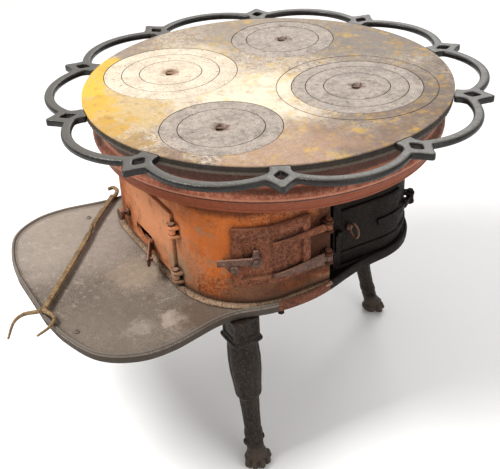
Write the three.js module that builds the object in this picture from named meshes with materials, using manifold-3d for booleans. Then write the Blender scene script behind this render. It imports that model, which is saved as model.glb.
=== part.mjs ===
// Cast-iron cook stove with a round top that turns on a centre pivot.
//
// Frame: millimetres, +Z up, hearth towards -Y, loading door towards +X, floor at z = 0.
// The bare casting sizes come first, then the small shape helpers, then one section a
// sub-assembly: base, casing, drum, fire parts, flue, legs, doors, top, rail and poker.

import * as THREE from 'three';
import { mergeVertices } from 'three/addons/utils/BufferGeometryUtils.js';
import Module from 'manifold-3d';

const wasm = await Module();
wasm.setup();

// ---------------------------------------------------------------- driving dimensions

const GAP = 0.3;                 // clearance between two castings that touch
const RUNNING = 0.8;             // clearance round a ring, lid or turning pin

const TOP_HEIGHT = 700;          // cooking surface above the floor
const TOP_RADIUS = 371;
const TOP_THICK = 9;
const TOP_TURN = -46;            // how far the top stands turned from straight ahead, degrees
const RIM_DEPTH = 20;
const RIM_WALL = 7;
const SEAT_DEPTH = 4;            // rebate that a ring or lid sits in
const SEAT_WIDTH = 6;
const LID_THICK = 8;
const PIVOT_RADIUS = 11;
const POT_SIDES = 24;
const RIM_SIDES = 50;

const RAIL_TIP_RADIUS = 446;
const RAIL_BAR_OUTER = 447;
const RAIL_BAR_WIDTH = 20;
const RAIL_DEPTH = 14;
const RAIL_LOBES = 10;
const RAIL_EYE_HALF = 12;        // half width of the diamond eye in each joint piece
const RAIL_EYE_REACH = 17;       // half length of the eye along the radius

const DRUM_RADIUS = 358;         // widest edge of the moulded drum
const DRUM_NECK = 347;           // upstand inside the top's rim
const DRUM_WALL = 6;
const DRUM_HEIGHT = 100;
const DRUM_FLOOR = 6;
const DRUM_LEDGE = 24;           // how far the drum floor reaches in over the casing walls

const BASE_TOP = 378;
const BASE_PLATE = 8;
const BASE_DEPTH = 16;
const BEAD_HEIGHT = 6;
const BEAD_WIDTH = 8;
const STEP_WIDTH = 12;           // moulding round the foot of the casing
const STEP_HEIGHT = 6;
const HEARTH_JOINT_Y = -159;
const OVEN_JOINT_Y = -38;

const WALL = 7;
const FIREBOX_HALF = 276;
const FIREBOX_FRONT = -284;
const FIREBOX_CORNER = 150;
const FIREBOX_REAR = -35;
const OVEN_HALF = 246;
const OVEN_REAR = 235;
const OVEN_CORNER = 128;
const PILASTER_REACH = 11;
const PILASTER_WIDTH = 18;
const PILASTER_START = -14;
const FLANGE_REACH = 22;          // oven flange that closes on the rear edge of the firebox
const FLANGE_THICK = 7;

const DOOR_THICK = 8;
const DOOR_LAP = 11;             // how far a door laps over its opening
const PIN_RADIUS = 4;
const KNUCKLE_RADIUS = 9;
const FRONT_DOOR_HALF = 112;
const FRONT_DOOR_TOP = 538;
const FRONT_DOOR_FOOT = 396;      // swings over the poker where it lies on the hearth
const FRONT_PIVOT_X = 128;
const SIDE_DOOR_FRONT = -228;
const SIDE_DOOR_REAR = -84;
const SIDE_DOOR_BOTTOM = 428;
const SIDE_DOOR_TOP = 552;
const SIDE_BORDER = 18;
const SIDE_PIVOT_Y = -46;
const OVEN_DOOR_FRONT = 7;
const OVEN_DOOR_REAR = 158;
const OVEN_DOOR_BOTTOM = 418;
const OVEN_DOOR_TOP = 510;
const OVEN_LUG_ANGLE = 49;

const DRAFT_WIDTH = 80;
const DRAFT_HEIGHT = 32;
const DRAFT_BOTTOM = 403;
const DRAFT_HINGE_X = 20;
const DRAFT_REST = 152;          // how far the draft flap stands open, degrees

const GRATE_TOP = 412;
const FLUE_RADIUS = 70;
const FLUE_HEIGHT = 490;
const FLUE_REACH = 48;

const LEG_WIDTH = 57;
const LEG_DEPTH = 56;
const LEG_BLOCK = 46;
const LEG_FLARE = 38;
const LEG_FLARE_REAR = 80;
const LEG_SIDE_X = 252;
const LEG_SIDE_Y = -224;
const LEG_REAR_Y = 214;

const POKER_RADIUS = 5;

const FINISH = {
  top: { color: 0xc9b794, roughness: 0.55, metalness: 0.4 },
  ring: { color: 0xb3a799, roughness: 0.5, metalness: 0.5 },
  rail: { color: 0x4a4a46, roughness: 0.45, metalness: 0.7 },
  rust: { color: 0xb5623a, roughness: 0.85, metalness: 0.2 },
  black: { color: 0x38332d, roughness: 0.7, metalness: 0.5 },
  hearth: { color: 0x8d847b, roughness: 0.75, metalness: 0.3 },
  iron: { color: 0x54483f, roughness: 0.7, metalness: 0.5 },
  poker: { color: 0xa58a5c, roughness: 0.6, metalness: 0.6 },
};

// ---------------------------------------------------------------- shape helpers

const rad = THREE.MathUtils.degToRad;

/** Turns a closed three.js geometry into a solid whose faces point outwards. */
function solid(geometry) {
  const bare = geometry.clone();
  for (const extra of ['normal', 'uv', 'uv1']) bare.deleteAttribute(extra);
  const joined = mergeVertices(bare, 1e-3);
  const points = joined.attributes.position.array;
  const corners = Uint32Array.from(joined.index.array);
  let volume = 0;
  for (let i = 0; i < corners.length; i += 3) {
    const [a, b, c] = [0, 1, 2].map((k) => new THREE.Vector3().fromArray(points, 3 * corners[i + k]));
    volume += a.dot(b.cross(c));
  }
  if (volume < 0) {
    for (let i = 0; i < corners.length; i += 3) {
      [corners[i], corners[i + 1]] = [corners[i + 1], corners[i]];
    }
  }
  return new wasm.Manifold(new wasm.Mesh({ numProp: 3, vertProperties: points, triVerts: corners }));
}

/** Joins several solids into one. */
function join(...parts) {
  return parts.reduce((whole, part) => whole.add(part));
}

/** Cuts several solids out of the first one. */
function cut(body, ...tools) {
  return tools.reduce((rest, tool) => rest.subtract(tool), body);
}

/** An upright box between two corners. */
function box(x0, x1, y0, y1, z0, z1) {
  const shape = new THREE.BoxGeometry(x1 - x0, y1 - y0, z1 - z0);
  return solid(shape.translate((x0 + x1) / 2, (y0 + y1) / 2, (z0 + z1) / 2));
}

/** An upright cylinder centred on (x, y). */
function post(radius, x, y, z0, z1, sides = 16) {
  const shape = new THREE.CylinderGeometry(radius, radius, z1 - z0, sides);
  return solid(shape.rotateX(Math.PI / 2).translate(x, y, (z0 + z1) / 2));
}

/** A cylinder from one point along a level direction, given as an angle from +X. */
function rod(radius, start, angle, length, sides = 16) {
  const shape = new THREE.CylinderGeometry(radius, radius, length, sides);
  shape.rotateZ(-Math.PI / 2).translate(length / 2, 0, 0).rotateZ(rad(angle));
  return solid(shape.translate(...start));
}

/** A solid of revolution about Z from a closed (radius, height) profile. */
function turned(profile, sides) {
  const points = profile.map(([r, z]) => new THREE.Vector2(r, z));
  const onAxis = profile[0][0] === 0 && profile.at(-1)[0] === 0;
  if (!onAxis) points.push(points[0].clone());
  return solid(new THREE.LatheGeometry(points, sides).rotateX(Math.PI / 2));
}

/** A flat outline, given as plan points, raised from z0 to z1. */
function raised(points, z0, z1) {
  const shape = new THREE.Shape(points.map(([x, y]) => new THREE.Vector2(x, y)));
  const geometry = new THREE.ExtrudeGeometry(shape, { depth: z1 - z0, bevelEnabled: false });
  return solid(geometry.translate(0, 0, z0));
}

/** A round bar along a smooth curve through the given points. */
function bar(points, radius, steps, sides = 3) {
  const path = new THREE.CatmullRomCurve3(points.map((p) => new THREE.Vector3(...p)));
  const section = new THREE.Shape().absarc(0, 0, radius, 0, 2 * Math.PI);
  const options = { steps, extrudePath: path, curveSegments: sides, bevelEnabled: false };
  return solid(new THREE.ExtrudeGeometry(section, options));
}

/** Mirrors plan points in the Y axis and walks back, so that a half outline closes. */
function bothSides(half) {
  const left = half.filter(([x]) => x > 1e-6).map(([x, y]) => [-x, y]).reverse();
  return [...half, ...left];
}

/** Moves each point of a closed counter-clockwise outline outwards by a distance. */
function grown(points, distance) {
  const count = points.length;
  return points.map(([x, y], i) => {
    const [ax, ay] = points[(i + count - 1) % count];
    const [bx, by] = points[(i + 1) % count];
    const into = new THREE.Vector2(x - ax, y - ay).normalize();
    const out = new THREE.Vector2(bx - x, by - y).normalize();
    const along = into.clone().add(out).normalize();
    const reach = distance / Math.max(0.3, Math.sqrt((1 + into.dot(out)) / 2));
    return [x + along.y * reach, y - along.x * reach];
  });
}

/** Makes the named mesh of one piece. */
function piece(name, body, finish) {
  const { vertProperties, triVerts } = body.getMesh();
  const geometry = new THREE.BufferGeometry();
  geometry.setAttribute('position', new THREE.BufferAttribute(new Float32Array(vertProperties), 3));
  geometry.setIndex(new THREE.BufferAttribute(new Uint32Array(triVerts), 1));
  geometry.computeVertexNormals();
  const mesh = new THREE.Mesh(geometry, new THREE.MeshStandardMaterial(FINISH[finish]));
  mesh.name = name;
  return mesh;
}

// ---------------------------------------------------------------- plan outlines

/** Right half of the base: bowed hearth, drawn-in neck, wide middle and round rear corner. */
function baseHalf() {
  const through = [
    [80, -551], [153, -540], [232, -509], [275, -451], [284, -380], [265, -259],
    [289, -162], [291, -69], [262, 47], [253, 126],
  ];
  const curve = new THREE.SplineCurve(through.map(([x, y]) => new THREE.Vector2(x, y)));
  const corner = new THREE.EllipseCurve(121, 113, 132, 132, rad(12), rad(90));
  const points = [...curve.getPoints(24), ...corner.getPoints(5)].map((p) => [p.x, p.y]);
  return [[0, -551], ...points, [0, 245]];
}

/** Right half of the firebox wall, set out by an offset from its outer face. */
function fireboxHalf(offset, rear = FIREBOX_REAR) {
  const centreX = FIREBOX_HALF - FIREBOX_CORNER;
  const centreY = FIREBOX_FRONT + FIREBOX_CORNER;
  const radius = FIREBOX_CORNER + offset;
  const points = [[0, FIREBOX_FRONT - offset]];
  const steps = 8;
  for (let i = 0; i <= steps; i += 1) {
    const angle = rad(-90 + (90 * i) / steps);
    points.push([centreX + radius * Math.cos(angle), centreY + radius * Math.sin(angle)]);
  }
  points.push([FIREBOX_HALF + offset, rear], [0, rear]);
  return points;
}

/** Right half of the oven wall, straight at the side with a round rear corner. */
function ovenHalf(offset, front = FIREBOX_REAR + GAP) {
  const half = OVEN_HALF + offset;
  const centreX = OVEN_HALF - OVEN_CORNER;
  const centreY = OVEN_REAR - OVEN_CORNER;
  const radius = OVEN_CORNER + offset;
  const corner = new THREE.EllipseCurve(centreX, centreY, radius, radius, 0, Math.PI / 2);
  return [[0, front], [half, front], ...corner.getPoints(7).map((p) => [p.x, p.y]), [0, OVEN_REAR + offset]];
}

/** The plan place of a point on the firebox wall at a given y, stood off from the face. */
function wallPoint(y, standOff) {
  const centreY = FIREBOX_FRONT + FIREBOX_CORNER;
  if (y >= centreY) return [FIREBOX_HALF + standOff, y];
  const centreX = FIREBOX_HALF - FIREBOX_CORNER;
  const angle = Math.asin((y - centreY) / FIREBOX_CORNER);
  const radius = FIREBOX_CORNER + standOff;
  return [centreX + radius * Math.cos(angle), centreY + radius * Math.sin(angle)];
}

/** A plate that follows the firebox wall between two y values and two stand-offs. */
function wallPlate(front, rear, inner, outer, z0, z1) {
  const outside = raised(bothSides(fireboxHalf(outer, 0)), z0, z1);
  const inside = raised(bothSides(fireboxHalf(inner, 0)), z0 - 1, z1 + 1);
  return outside.subtract(inside).intersect(box(0, 400, front, rear, z0 - 1, z1 + 1));
}

/** The point on the oven's rear corner where its door lug stands, stood off outwards. */
function ovenCornerPoint(standOff) {
  const angle = rad(OVEN_LUG_ANGLE);
  const radius = OVEN_CORNER + standOff;
  return [OVEN_HALF - OVEN_CORNER + radius * Math.cos(angle), OVEN_REAR - OVEN_CORNER + radius * Math.sin(angle)];
}

/** The x of the oven wall's face at a given y, stood off outwards. */
function ovenX(y, standOff) {
  const half = ovenHalf(standOff).slice(1);
  const i = half.findIndex((point, k) => k > 0 && point[1] >= y);
  const [ax, ay] = half[i - 1];
  const [bx, by] = half[i];
  return ax + ((bx - ax) * (y - ay)) / (by - ay);
}

/** A plate that follows the oven wall between two y values and two stand-offs. */
function ovenPlate(front, rear, inner, outer, z0, z1) {
  const outside = raised(bothSides(ovenHalf(outer, -80)), z0, z1);
  const inside = raised(bothSides(ovenHalf(inner, -80)), z0 - 1, z1 + 1);
  return outside.subtract(inside).intersect(box(0, 400, front, rear, z0 - 1, z1 + 1));
}

const stove = new THREE.Group();
const add = (...meshes) => stove.add(...meshes);

// ---------------------------------------------------------------- heights that follow

const CASING_FOOT = BASE_TOP + STEP_HEIGHT + GAP;
const TOP_UNDERSIDE = TOP_HEIGHT - TOP_THICK;
const DRUM_TOP = TOP_UNDERSIDE - GAP;
const DRUM_BOTTOM = DRUM_TOP - DRUM_HEIGHT;
const CASING_TOP = DRUM_BOTTOM - GAP;
const BASE_BOTTOM = BASE_TOP - BASE_DEPTH;
const PLATE_UNDERSIDE = BASE_TOP - BASE_PLATE;
const DOOR_BACK = FIREBOX_FRONT - GAP;
const DOOR_FACE = DOOR_BACK - DOOR_THICK;

// ---------------------------------------------------------------- tie rods

const TIE_RADIUS = 4;
const TIE_PLACES = {
  tie_rod_front_right: [219, -226],
  tie_rod_front_left: [-219, -226],
  tie_rod_rear_right: [216, 153],
  tie_rod_rear_left: [-216, 153],
};
const tieHoles = Object.values(TIE_PLACES).map(([x, y]) => post(TIE_RADIUS + RUNNING, x, y, 0, TOP_HEIGHT, 10));
for (const [name, [x, y]] of Object.entries(TIE_PLACES)) {
  const floorTop = DRUM_BOTTOM + DRUM_FLOOR;
  const shank = post(TIE_RADIUS, x, y, PLATE_UNDERSIDE - GAP - 6, floorTop + 10, 10);
  const head = post(8, x, y, PLATE_UNDERSIDE - GAP - 6, PLATE_UNDERSIDE - GAP, 6);
  const nut = post(8, x, y, floorTop + GAP, floorTop + GAP + 6, 6);
  add(piece(name, join(shank, head, nut), 'iron'));
}

// ---------------------------------------------------------------- base castings

const JOINT_BOLT_RADIUS = 4.5;
const jointBoltPlaces = { joint_bolt_right: 280, joint_bolt_left: -280 };
const jointBoltY = HEARTH_JOINT_Y + 9;
const rivetPlaces = { hearth_rivet_right: [152, -514], hearth_rivet_left: [-221, -342] };

function makeBase() {
  const outline = bothSides(baseHalf());
  const plate = raised(outline, BASE_BOTTOM, BASE_TOP);
  const bead = raised(outline, BASE_TOP - 1, BASE_TOP + BEAD_HEIGHT);
  const beadInside = raised(grown(outline, -BEAD_WIDTH), BASE_TOP, BASE_TOP + 2 * BEAD_HEIGHT);
  const hollow = raised(grown(outline, -BEAD_WIDTH - 2), BASE_BOTTOM - 1, PLATE_UNDERSIDE);
  const fireStep = raised(bothSides(fireboxHalf(STEP_WIDTH)), BASE_TOP - 1, BASE_TOP + STEP_HEIGHT);
  const fireWell = raised(bothSides(fireboxHalf(-WALL - 4, 0)), BASE_TOP, BASE_TOP + 2 * STEP_HEIGHT);
  const ovenStep = raised(bothSides(ovenHalf(STEP_WIDTH)), BASE_TOP - 1, BASE_TOP + STEP_HEIGHT);
  const ovenWell = raised(bothSides(ovenHalf(-WALL - 4, -60)), BASE_TOP, BASE_TOP + 2 * STEP_HEIGHT);
  const margin = raised(grown(outline, -2), 0, TOP_HEIGHT);
  const steps = cut(join(fireStep, ovenStep).intersect(margin), fireWell, ovenWell);
  const boltHoles = Object.values(jointBoltPlaces).map((x) =>
    post(JOINT_BOLT_RADIUS + RUNNING, x, jointBoltY, BASE_BOTTOM - 1, BASE_TOP - 4, 10));
  const rivetHoles = Object.values(rivetPlaces).map(([x, y]) =>
    post(3 + GAP, x, y, BASE_BOTTOM, BASE_TOP + 1, 10));
  const whole = join(cut(plate, hollow), cut(bead, beadInside), steps);
  return cut(whole, ...tieHoles, ...boltHoles, ...rivetHoles);
}

/** Keeps the part of the base between two joint lines. */
function baseSection(whole, y0, y1) {
  return whole.intersect(box(-400, 400, y0, y1, 0, TOP_HEIGHT));
}

const base = makeBase();
add(
  piece('hearth_plate', baseSection(base, -700, HEARTH_JOINT_Y - GAP), 'hearth'),
  piece('firebox_base', baseSection(base, HEARTH_JOINT_Y, OVEN_JOINT_Y - GAP), 'rust'),
  piece('oven_base', baseSection(base, OVEN_JOINT_Y, 500), 'black'),
);
for (const [name, x] of Object.entries(jointBoltPlaces)) {
  const shank = post(JOINT_BOLT_RADIUS, x, jointBoltY, BASE_BOTTOM - 10, BASE_TOP - 5, 10);
  const head = post(7, x, jointBoltY, BASE_BOTTOM - 10, BASE_BOTTOM - GAP, 6);
  add(piece(name, join(shank, head), 'iron'));
}
for (const [name, [x, y]] of Object.entries(rivetPlaces)) {
  const dome = [[0, 0], [6, 0], [5.4, 1.6], [3.4, 3], [0, 3.6]];
  const head = turned(dome, 12).translate([x, y, BASE_TOP + GAP]);
  const tail = post(3, x, y, PLATE_UNDERSIDE - 1, BASE_TOP + GAP + 1, 10);
  add(piece(name, join(head, tail), 'iron'));
}

// ---------------------------------------------------------------- casing walls

/** A hinge lug on a wall: two ears round a pin, with the door's knuckle between them. */
const EAR = 7;
const KNUCKLE = 12;
function ears(x, y, z, backX, backY) {
  const make = (z0) => {
    const eye = post(KNUCKLE_RADIUS, x, y, z0, z0 + EAR, 14);
    const web = raised(strip([x, y], [backX, backY], KNUCKLE_RADIUS), z0, z0 + EAR);
    return join(eye, web);
  };
  const gap = KNUCKLE / 2 + GAP;
  return [make(z + gap), make(z - gap - EAR)];
}

/** A straight strip in plan, half width on each side of the line between two points. */
function strip([ax, ay], [bx, by], half) {
  const side = new THREE.Vector2(by - ay, ax - bx).setLength(half);
  return [[ax + side.x, ay + side.y], [ax - side.x, ay - side.y],
    [bx - side.x, by - side.y], [bx + side.x, by + side.y]].reverse();
}

const FRONT_PIVOT = [FRONT_PIVOT_X, DOOR_FACE - 2];
const FRONT_HINGES = { upper: FRONT_DOOR_TOP - 30, lower: CASING_FOOT + 20 };
const SIDE_PIVOT = [FIREBOX_HALF + KNUCKLE_RADIUS + 3, SIDE_PIVOT_Y];
const SIDE_HINGES = { upper: 516, lower: 446 };
const OVEN_PIVOT = ovenCornerPoint(KNUCKLE_RADIUS + 3);
const OVEN_HINGES = { middle: 458 };

/** Pin holes through every lug of one door. */
function pinHoles([x, y], heights) {
  return Object.values(heights).map((z) => post(PIN_RADIUS + GAP, x, y, z - 22, z + 22, 10));
}

function makeFireboxShell() {
  const outer = raised(bothSides(fireboxHalf(0)), CASING_FOOT, CASING_TOP);
  const inner = raised(bothSides(fireboxHalf(-WALL, 0)), 0, TOP_HEIGHT);
  const frontDoorway = box(-FRONT_DOOR_HALF + DOOR_LAP, FRONT_DOOR_HALF - DOOR_LAP,
    FIREBOX_FRONT - 5, FIREBOX_FRONT + WALL + 40, FRONT_DOOR_FOOT + 6, FRONT_DOOR_TOP - DOOR_LAP);
  const sideDoorway = box(FIREBOX_HALF - 60, FIREBOX_HALF + 20, SIDE_DOOR_FRONT + DOOR_LAP,
    SIDE_DOOR_REAR - DOOR_LAP, SIDE_DOOR_BOTTOM + DOOR_LAP, SIDE_DOOR_TOP - DOOR_LAP);
  const lugs = [
    ...Object.values(FRONT_HINGES).flatMap((z) => ears(...FRONT_PIVOT, z, FRONT_PIVOT_X + 9, FIREBOX_FRONT + 2)),
    ...Object.values(SIDE_HINGES).flatMap((z) => ears(...SIDE_PIVOT, z, FIREBOX_HALF - 3, SIDE_PIVOT_Y - 4)),
  ];
  const walls = cut(outer, inner, frontDoorway, sideDoorway);
  const room = raised(bothSides(fireboxHalf(-WALL + 1, 0)), 0, TOP_HEIGHT);
  const fixed = lugs.map((lug) => lug.subtract(room));
  const doorRoom = box(-FRONT_DOOR_HALF - 4, FRONT_DOOR_HALF + 2, DOOR_FACE - 20, FIREBOX_FRONT, 0, TOP_HEIGHT);
  const cutLugs = fixed.map((lug) => lug.subtract(doorRoom));
  return cut(join(walls, ...cutLugs), ...pinHoles(FRONT_PIVOT, FRONT_HINGES), ...pinHoles(SIDE_PIVOT, SIDE_HINGES));
}

function makeOvenShell() {
  const outer = raised(bothSides(ovenHalf(0)), CASING_FOOT, CASING_TOP);
  const inner = raised(bothSides(ovenHalf(-WALL, -80)), 0, TOP_HEIGHT);
  const pilasters = [1, -1].map((side) => {
    const xs = [side * (OVEN_HALF - 3), side * (OVEN_HALF + PILASTER_REACH)].sort((a, b) => a - b);
    return box(...xs, PILASTER_START, PILASTER_START + PILASTER_WIDTH, CASING_FOOT, CASING_TOP);
  });
  const flanges = [1, -1].map((side) => {
    const xs = [side * (OVEN_HALF - 3), side * (OVEN_HALF + FLANGE_REACH)].sort((a, b) => a - b);
    const front = FIREBOX_REAR + GAP;
    return box(...xs, front, front + FLANGE_THICK, CASING_FOOT, CASING_TOP);
  });
  const doorway = box(OVEN_HALF - 60, OVEN_HALF + 20, OVEN_DOOR_FRONT + DOOR_LAP,
    OVEN_DOOR_REAR - DOOR_LAP, OVEN_DOOR_BOTTOM + DOOR_LAP, OVEN_DOOR_TOP - DOOR_LAP);
  const flueHole = rod(FLUE_RADIUS, [0, OVEN_REAR - 40, FLUE_HEIGHT], 90, 80, 32);
  const lugs = Object.values(OVEN_HINGES).flatMap((z) => ears(...OVEN_PIVOT, z, ...ovenCornerPoint(-5)));
  const room = raised(bothSides(ovenHalf(-WALL + 1, -80)), 0, TOP_HEIGHT);
  const walls = cut(join(cut(outer, inner), ...pilasters, ...flanges), doorway, flueHole);
  return cut(join(walls, ...lugs.map((lug) => lug.subtract(room))), ...pinHoles(OVEN_PIVOT, OVEN_HINGES));
}

add(
  piece('firebox_shell', makeFireboxShell(), 'rust'),
  piece('oven_shell', makeOvenShell(), 'black'),
);

// ---------------------------------------------------------------- moulded drum

function makeDrum() {
  const z = (down) => DRUM_TOP - down;
  const neckInside = DRUM_NECK - DRUM_WALL;
  const floorTop = DRUM_BOTTOM + DRUM_FLOOR;
  const profile = [
    [0, DRUM_BOTTOM], [DRUM_RADIUS - 15, DRUM_BOTTOM], [DRUM_RADIUS - 12, z(DRUM_HEIGHT - 5)],
    [DRUM_RADIUS - 5, z(73)], [DRUM_RADIUS, z(67)], [DRUM_RADIUS - 1, z(58)], [DRUM_RADIUS - 7, z(50)],
    [DRUM_NECK, z(45)], [DRUM_NECK, DRUM_TOP], [neckInside, DRUM_TOP], [neckInside, floorTop],
    [0, floorTop],
  ];
  const fireHole = raised(bothSides(fireboxHalf(-WALL - DRUM_LEDGE, 0)), 0, TOP_HEIGHT);
  const ovenHole = raised(bothSides(ovenHalf(-WALL - DRUM_LEDGE, -80)), 0, TOP_HEIGHT);
  return cut(turned(profile, RIM_SIDES), fireHole, ovenHole, ...tieHoles);
}

const BRIDGE_TOP = 655;
const BRIDGE_HALF = 326;
function makeBridge() {
  const floorTop = DRUM_BOTTOM + DRUM_FLOOR + GAP;
  const beam = box(-BRIDGE_HALF, BRIDGE_HALF, -16, 16, BRIDGE_TOP - 14, BRIDGE_TOP);
  const feet = [-1, 1].map((side) => {
    const xs = [side * (BRIDGE_HALF - 40), side * BRIDGE_HALF].sort((a, b) => a - b);
    return box(...xs, -16, 16, floorTop, BRIDGE_TOP);
  });
  const boss = post(32, 0, 0, BRIDGE_TOP - 24, BRIDGE_TOP + 8, 24);
  return cut(join(beam, boss, ...feet), post(PIVOT_RADIUS + RUNNING, 0, 0, 0, TOP_HEIGHT, 24));
}

add(
  piece('cornice_drum', makeDrum(), 'rust'),
  piece('pivot_bridge', makeBridge(), 'iron'),
);

// ---------------------------------------------------------------- fire parts

const LINER_X = 254;
const LINER_FRONT = -180;
const LINER_REAR = FIREBOX_REAR - 14;
const GRATE_BOTTOM = GRATE_TOP - 8;

function makeLiner(side, top) {
  const plate = [side * LINER_X, side * (LINER_X - 8)].sort((a, b) => a - b);
  const ledge = [side * (LINER_X - 4), side * (LINER_X - 22)].sort((a, b) => a - b);
  const foot = BASE_TOP + GAP;
  return join(
    box(...plate, LINER_FRONT, LINER_REAR, foot, top),
    box(...ledge, LINER_FRONT, LINER_REAR, GRATE_BOTTOM - GAP - 7, GRATE_BOTTOM - GAP),
  );
}

function makeGrate() {
  const half = LINER_X - 8 - RUNNING;
  const plate = box(-half, half, LINER_FRONT + 6, LINER_REAR - 2, GRATE_BOTTOM, GRATE_TOP);
  const slots = [];
  for (let i = -6; i <= 6; i += 1) {
    slots.push(box(i * 32 - 8, i * 32 + 8, LINER_FRONT + 18, LINER_REAR - 14, 0, TOP_HEIGHT));
  }
  return cut(plate, ...slots);
}

function makeFireBack() {
  const half = FIREBOX_HALF - WALL - 5;
  return box(-half, half, FIREBOX_REAR - 12, FIREBOX_REAR - 4, BASE_TOP + GAP, CASING_TOP - 60);
}

add(
  piece('fire_back', makeFireBack(), 'iron'),
  piece('liner_left', makeLiner(-1, SIDE_DOOR_TOP), 'iron'),
  piece('liner_right', makeLiner(1, SIDE_DOOR_BOTTOM + 4), 'iron'),
  piece('fire_grate', makeGrate(), 'iron'),
);

// ---------------------------------------------------------------- flue collar

function makeFlueCollar() {
  const start = [0, OVEN_REAR - 20, FLUE_HEIGHT];
  const tube = rod(FLUE_RADIUS + 8, start, 90, FLUE_REACH + 20, 32);
  const flange = rod(FLUE_RADIUS + 22, start, 90, 27, 32);
  const bore = rod(FLUE_RADIUS, [0, 0, FLUE_HEIGHT], 90, 600, 32);
  const shell = raised(bothSides(ovenHalf(GAP)), 0, TOP_HEIGHT);
  return cut(join(tube, flange), bore, shell);
}

add(piece('flue_collar', makeFlueCollar(), 'black'));

// ---------------------------------------------------------------- legs

/** One cabriole leg: panelled block, collar, knee, shank and paw. Outwards is +X. */
function makeLeg(flare) {
  const top = BASE_BOTTOM - GAP;
  const blockFoot = top - LEG_BLOCK;
  const halfX = LEG_DEPTH / 2;
  const halfY = LEG_WIDTH / 2;
  const block = box(-halfX, halfX, -halfY, halfY, blockFoot, top);
  const tenon = box(-halfX + 8, halfX - 24, -halfY + 10, halfY - 10, top - 1, PLATE_UNDERSIDE - GAP);
  const collar = box(-halfX - 4, halfX + 4, -halfY - 4, halfY + 4, blockFoot - 9, blockFoot);
  const shear = new THREE.Matrix4().set(1, 0, -flare / blockFoot, flare, 0, 1, 0, 0, 0, 0, 1, 0, 0, 0, 0, 1);
  const profile = [
    [0, 0], [29, 0], [33, 12], [29, 34], [20, 54], [22, 74], [17, 90], [18, 130], [21, 172],
    [29, 182], [33, 230], [28, blockFoot - 8], [0, blockFoot - 8],
  ].map(([r, z]) => new THREE.Vector2(r, z));
  const limb = new THREE.LatheGeometry(profile, 12).rotateX(Math.PI / 2).scale(0.92, 1, 1);
  return join(block, tenon, collar, solid(limb.applyMatrix4(shear)));
}

const LEG_PLACES = {
  leg_right: [LEG_SIDE_X, LEG_SIDE_Y, 0, LEG_FLARE],
  leg_left: [-LEG_SIDE_X, LEG_SIDE_Y, 180, LEG_FLARE],
  leg_rear: [0, LEG_REAR_Y, 90, LEG_FLARE_REAR],
};
for (const [name, [x, y, turn, flare]] of Object.entries(LEG_PLACES)) {
  const leg = piece(name, makeLeg(flare), 'black');
  leg.rotation.z = rad(turn);
  leg.position.set(x, y, 0);
  add(leg);
}

// ---------------------------------------------------------------- hinge pins

/** A pin with a domed head that stands through one pair of ears. */
function hingePin([x, y], z) {
  const reach = KNUCKLE / 2 + GAP + EAR;
  const shank = post(PIN_RADIUS, x, y, z - reach - 3, z + reach + GAP + 1, 10);
  const head = post(PIN_RADIUS + 2.5, x, y, z + reach + GAP, z + reach + GAP + 4, 10);
  return join(shank, head);
}

for (const [door, pivot, heights] of [
  ['front', FRONT_PIVOT, FRONT_HINGES],
  ['side', SIDE_PIVOT, SIDE_HINGES],
  ['oven', OVEN_PIVOT, OVEN_HINGES],
]) {
  for (const [level, z] of Object.entries(heights)) {
    add(piece(`${door}_hinge_pin_${level}`, hingePin(pivot, z), 'iron'));
  }
}

/** The knuckle that a door or strap carries round its pin. */
function knuckle([x, y], z, to, half = KNUCKLE_RADIUS - 2) {
  const eye = post(KNUCKLE_RADIUS - 1, x, y, z - KNUCKLE / 2, z + KNUCKLE / 2, 14);
  const web = raised(strip([x, y], to, half), z - KNUCKLE / 2, z + KNUCKLE / 2);
  return join(eye, web);
}

/** The running hole for a pin in a knuckle. */
function pinRoom([x, y], z) {
  return post(PIN_RADIUS + GAP, x, y, z - 20, z + 20, 10);
}

// ---------------------------------------------------------------- front door

const DRAFT_LEFT = DRAFT_HINGE_X - DRAFT_WIDTH;
const LATCH_X = -FRONT_DOOR_HALF + 17;
const LATCH_Z = FRONT_DOOR_TOP - 98;
const SPINDLE = 4;

/** Draft opening: level top, upright hinge side and one long curve below. */
function draftShape(inset) {
  const left = DRAFT_LEFT + inset;
  const right = DRAFT_HINGE_X - 4 - inset;
  const bottom = DRAFT_BOTTOM + inset;
  const top = DRAFT_BOTTOM + DRAFT_HEIGHT - inset;
  const shape = new THREE.Shape();
  shape.moveTo(right, bottom);
  shape.lineTo(right, top);
  shape.lineTo(left, top);
  shape.bezierCurveTo(left + 2, bottom + 10, left + 24, bottom, right, bottom);
  return shape;
}

/** An outline in the x-z plane given thickness along y. */
function upright(shape, y0, y1, curveSegments = 6) {
  const geometry = new THREE.ExtrudeGeometry(shape, { depth: y1 - y0, bevelEnabled: false, curveSegments });
  return solid(geometry.rotateX(Math.PI / 2).translate(0, y1, 0));
}

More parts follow.
